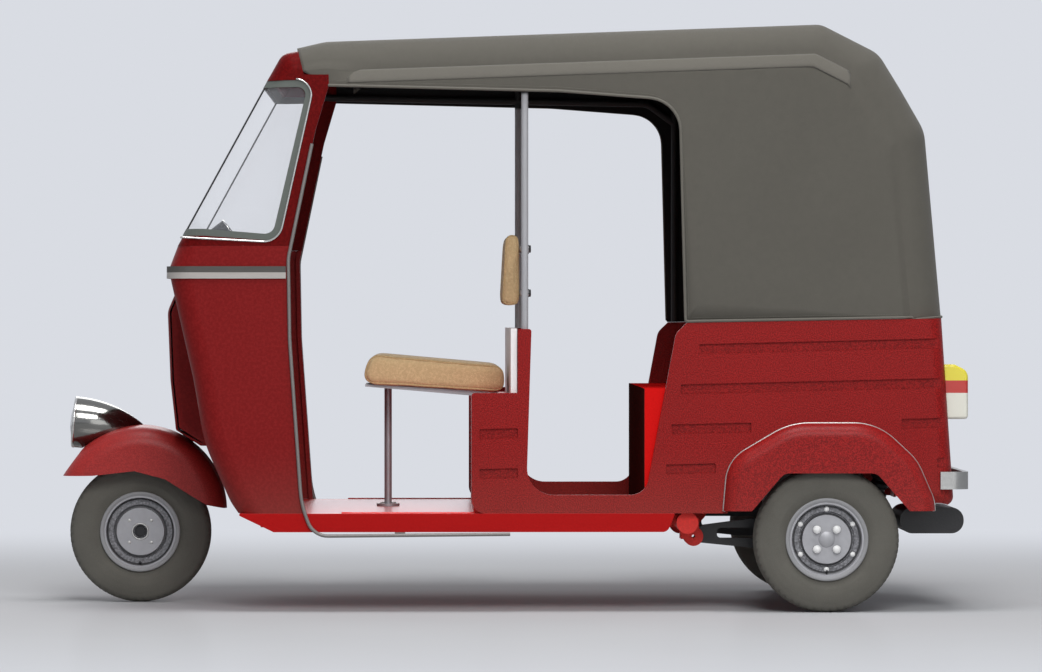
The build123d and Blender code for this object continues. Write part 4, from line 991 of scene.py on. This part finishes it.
def dress_lamp():
    """Lamp rim, reflector bowl and bulb. The bowl's radius grows with the root of its depth."""
    forward = (-cos(LAMP_TILT), 0.0, sin(LAMP_TILT))
    turned("lamp_rim", LAMP_RIM, LAMP_CENTRE, forward, "chrome", "steering", 96, True)
    share = np.linspace(0, 1, 20)
    bowl = list(zip(0.069 * np.sqrt(share), -0.044 + 0.0415 * share))
    back = [(radius + 0.0008, reach - 0.0008) for radius, reach in bowl[::-1][:-1]] + [(0, -0.0455)]
    turned("lamp_reflector", bowl + back, LAMP_CENTRE, forward, "chrome", "steering", 72)
    turned("lamp_bulb", LAMP_BULB, LAMP_CENTRE, forward, "warm_bulb", "steering", 24)


# Rows of the distances that head_point takes
LEVER = (
    (0.484, 0.0, 0.128), (0.47, -0.02, 0.15), (0.466, -0.012, 0.2), (0.466, 0.012, 0.25),
    (0.466, 0.016, 0.278),
)
GRIP_RIB = mm((16.5, -2), (18.2, -1.2), (18.2, 1.2), (16.5, 2))


def head_point(along, back, side):
    """A point given along the steering axis, behind it and to its side."""
    x = HEAD_X + sin(HEAD_ANGLE) * along + cos(HEAD_ANGLE) * back
    return x, side, HEAD_Z + cos(HEAD_ANGLE) * along - sin(HEAD_ANGLE) * back


def dress_handlebar():
    """Levers before both grips, and the grips' ribs."""
    for side, sign in (("clutch", -1), ("brake", 1)):
        line = softened(np.array([head_point(along, back, sign * out) for along, back, out in LEVER]), 3)
        taper = np.linspace(0.0062, 0.0042, len(line))
        tube(side + "_lever", line, taper, "zinc", "steering", 12, (0, 0, 1))
        start = np.array(head_point(BAR_ALONG, 0.0, sign * 0.124))
        end = np.array(head_point(BAR_ALONG, 0.062, sign * 0.275))
        run = unit(end - start)
        ridges = end - run * np.linspace(0.006, 0.108, 13)[:, None]
        rib = turned_grid(GRIP_RIB, (0, 0, 0), run, 28)
        ribs = ridges[:, None, None] + rib[None]
        surface(side + "_grip_ribs", ribs, "black_plastic", "steering", True, True)


DIAL_BEZEL = mm((44, 80), (50, 81.2), (52.8, 82.6), (52, 85.8), (47, 86.2), (44, 84.6))
DIAL_FACE = mm((0, 75.5), (44.6, 75.5), (44.6, 77.2), (0, 77.2))


def dress_dial():
    """One round instrument: bezel, pale face with plain marks, needle."""
    axis = unit(np.array((0.72, 0.0, 0.55)))
    foot = np.array((-0.88, 0.0, 1.04))
    turned("dial_bezel", DIAL_BEZEL, foot, axis, "chrome", "chassis", 72, True)
    turned("dial_face", DIAL_FACE, foot, axis, "white_board", "chassis", 48)
    first = unit(np.cross(axis, np.array((0, 0, 1))))
    second = np.cross(first, axis)
    turns = np.linspace(radians(-225), radians(45), 19)[:, None]
    spokes = np.cos(turns) * first + np.sin(turns) * second
    marks = foot + axis * 0.0774 + spokes * 0.037
    flat_bars("dial_marks", marks, spokes, axis, 0.007, 0.0007, "black_plastic")
    needle = unit(first * -0.75 - second * 0.66)
    line = foot + axis * 0.0786 + needle * np.linspace(-0.006, 0.032, 8)[:, None]
    tube("dial_needle", line, np.linspace(0.0012, 0.0006, 8), "gloss_red", "chassis", 8, tuple(axis))


def flat_bars(name, places, runs, outward, length, half, finish):
    """Flat bars at each place, each along its own run, 0.6 mm thick."""
    across = unit(np.cross(outward, runs))
    signs = np.array([(a, b, c) for c in (-1, 1) for a, b in ((-1, -1), (1, -1), (1, 1), (-1, 1))], float)
    ends = signs[None, :, 0:1] * length / 2 * runs[:, None]
    sides = signs[None, :, 1:2] * half * across[:, None]
    points = places[:, None] + ends + sides + signs[None, :, 2:3] * 0.0003 * np.array(outward)
    faces = np.array(((0, 3, 2, 1), (4, 5, 6, 7), (0, 1, 5, 4), (1, 2, 6, 5), (2, 3, 7, 6), (3, 0, 4, 7)))
    copies(name, points, faces, finish, False)


# Place and light

BACKGROUND = (0.694, 0.716, 0.768)
FLOOR_TONE = (0.53, 0.535, 0.55)
LAMPS = (
    ("key", (0.8, -9.0, 6.2), 3.6, 440.0),
    ("top", (0.3, -1.8, 6.5), 3.2, 255.0),
    ("low_fill", (3.0, -9.0, 1.6), 4.0, 70.0),
    ("back", (-1.0, 8.0, 5.0), 4.0, 180.0),
)
CAMERA_PLACE = (-0.2236, -15.4, 0.8565)
CAMERA_LENS = 178.9


def link_all(tree, pairs):
    for source, target in pairs:
        tree.links.new(source, target)


def build_floor():
    """A pale round floor that keeps the shadow near the vehicle and meets the background further out."""
    turn = full_turn(96)[None, :]
    radius = np.concatenate(([0.0], np.geomspace(0.5, 40.0, 40)))[:, None]
    points = np.stack((radius * np.cos(turn), radius * np.sin(turn), 0 * radius * turn), axis=2)
    mesh = bpy.data.meshes.new("floor")
    faces = grid_faces((1, *points.shape[:2]), True)[:, ::-1]
    mesh.from_pydata(points.reshape(-1, 3).tolist(), [], faces.tolist())
    clean(mesh)
    floor = add_object("floor", mesh)
    paint = Finish("floor_paint", roughness=0.9, specular_ior_level=0.0)
    tree = paint.tree
    paint.colour(paint.blend(paint.noise(2.0), FLOOR_TONE, dimmed(FLOOR_TONE, 0.97)))
    kinds = ("BsdfGlossy", "MixShader", "Emission", "MixShader")
    gloss, polish, glow, join = (tree.nodes.new("ShaderNode" + kind) for kind in kinds)
    gloss.inputs["Roughness"].default_value = 0.16
    polish.inputs[0].default_value = 0.07
    glow.inputs["Color"].default_value = (*BACKGROUND, 1.0)
    x, y = paint.axis("X"), paint.axis("Y")
    fade = ((x * x) * 0.16 + y * y).power(0.5).step(1.0, 5.2)
    paint.feed(join.inputs[0], fade * paint.node("LightPath", {}, {}, "Is Camera Ray"))
    link_all(tree, (
        (paint.shader.outputs[0], polish.inputs[1]),
        (gloss.outputs[0], polish.inputs[2]),
        (polish.outputs[0], join.inputs[1]),
        (glow.outputs[0], join.inputs[2]),
        (join.outputs[0], tree.nodes["Material Output"].inputs["Surface"]),
    ))
    mesh.materials.append(paint.material)


def build_light():
    """A pale world for the camera and in reflections, a softer one that lights, and four broad lamps."""
    world = bpy.data.worlds.new("studio")
    scene.world = world
    world.use_nodes = True
    tree = world.node_tree
    tree.nodes.clear()
    kinds = ("LightPath", "Background", "Background", "Math", "Math", "MixShader", "OutputWorld")
    path, shown, lit, either, any_ray, mix, out = (tree.nodes.new("ShaderNode" + kind) for kind in kinds)
    shown.inputs["Color"].default_value = (*BACKGROUND, 1.0)
    lit.inputs["Color"].default_value = (0.78, 0.8, 0.84, 1.0)
    lit.inputs["Strength"].default_value = 0.3
    either.operation = any_ray.operation = "MAXIMUM"
    link_all(tree, (
        (path.outputs["Is Camera Ray"], either.inputs[0]),
        (path.outputs["Is Transmission Ray"], either.inputs[1]),
        (either.outputs[0], any_ray.inputs[0]),
        (path.outputs["Is Glossy Ray"], any_ray.inputs[1]),
        (any_ray.outputs[0], mix.inputs[0]),
        (lit.outputs[0], mix.inputs[1]),
        (shown.outputs[0], mix.inputs[2]),
        (mix.outputs[0], out.inputs["Surface"]),
    ))
    for name, place, size, power in LAMPS:
        data = bpy.data.lights.new(name, "AREA")
        data.energy = power
        data.size = size
        lamp = add_object(name, data)
        lamp.location = place
        aim = Vector((0.0, 0.0, 0.8)) - Vector(place)
        lamp.rotation_euler = aim.to_track_quat("-Z", "Y").to_euler()


def build_camera():
    """The main view: level with the doors, far off and nearly square to the side."""
    data = bpy.data.cameras.new("camera")
    data.sensor_width = 36.0
    data.lens = CAMERA_LENS
    data.clip_end = 200.0
    camera = add_object("camera", data)
    camera.location = CAMERA_PLACE
    camera.rotation_euler = (radians(90 - 0.2545), 0.0, radians(-0.985))
    scene.camera = camera


dress_wheel("front_wheel", FRONT_AXLE, "front_tyre", -1, False)
for side, outer in (("left", -1), ("right", 1)):
    dress_wheel("rear_wheel_" + side, REAR_AXLES[side], "rear_tyre_" + side, outer, True)
dress_hem(dress_canopy())
dress_seats()
dress_body()
dress_lamp()
dress_handlebar()
dress_dial()
build_floor()
build_light()
build_camera()
scene.view_settings.view_transform = "Standard"
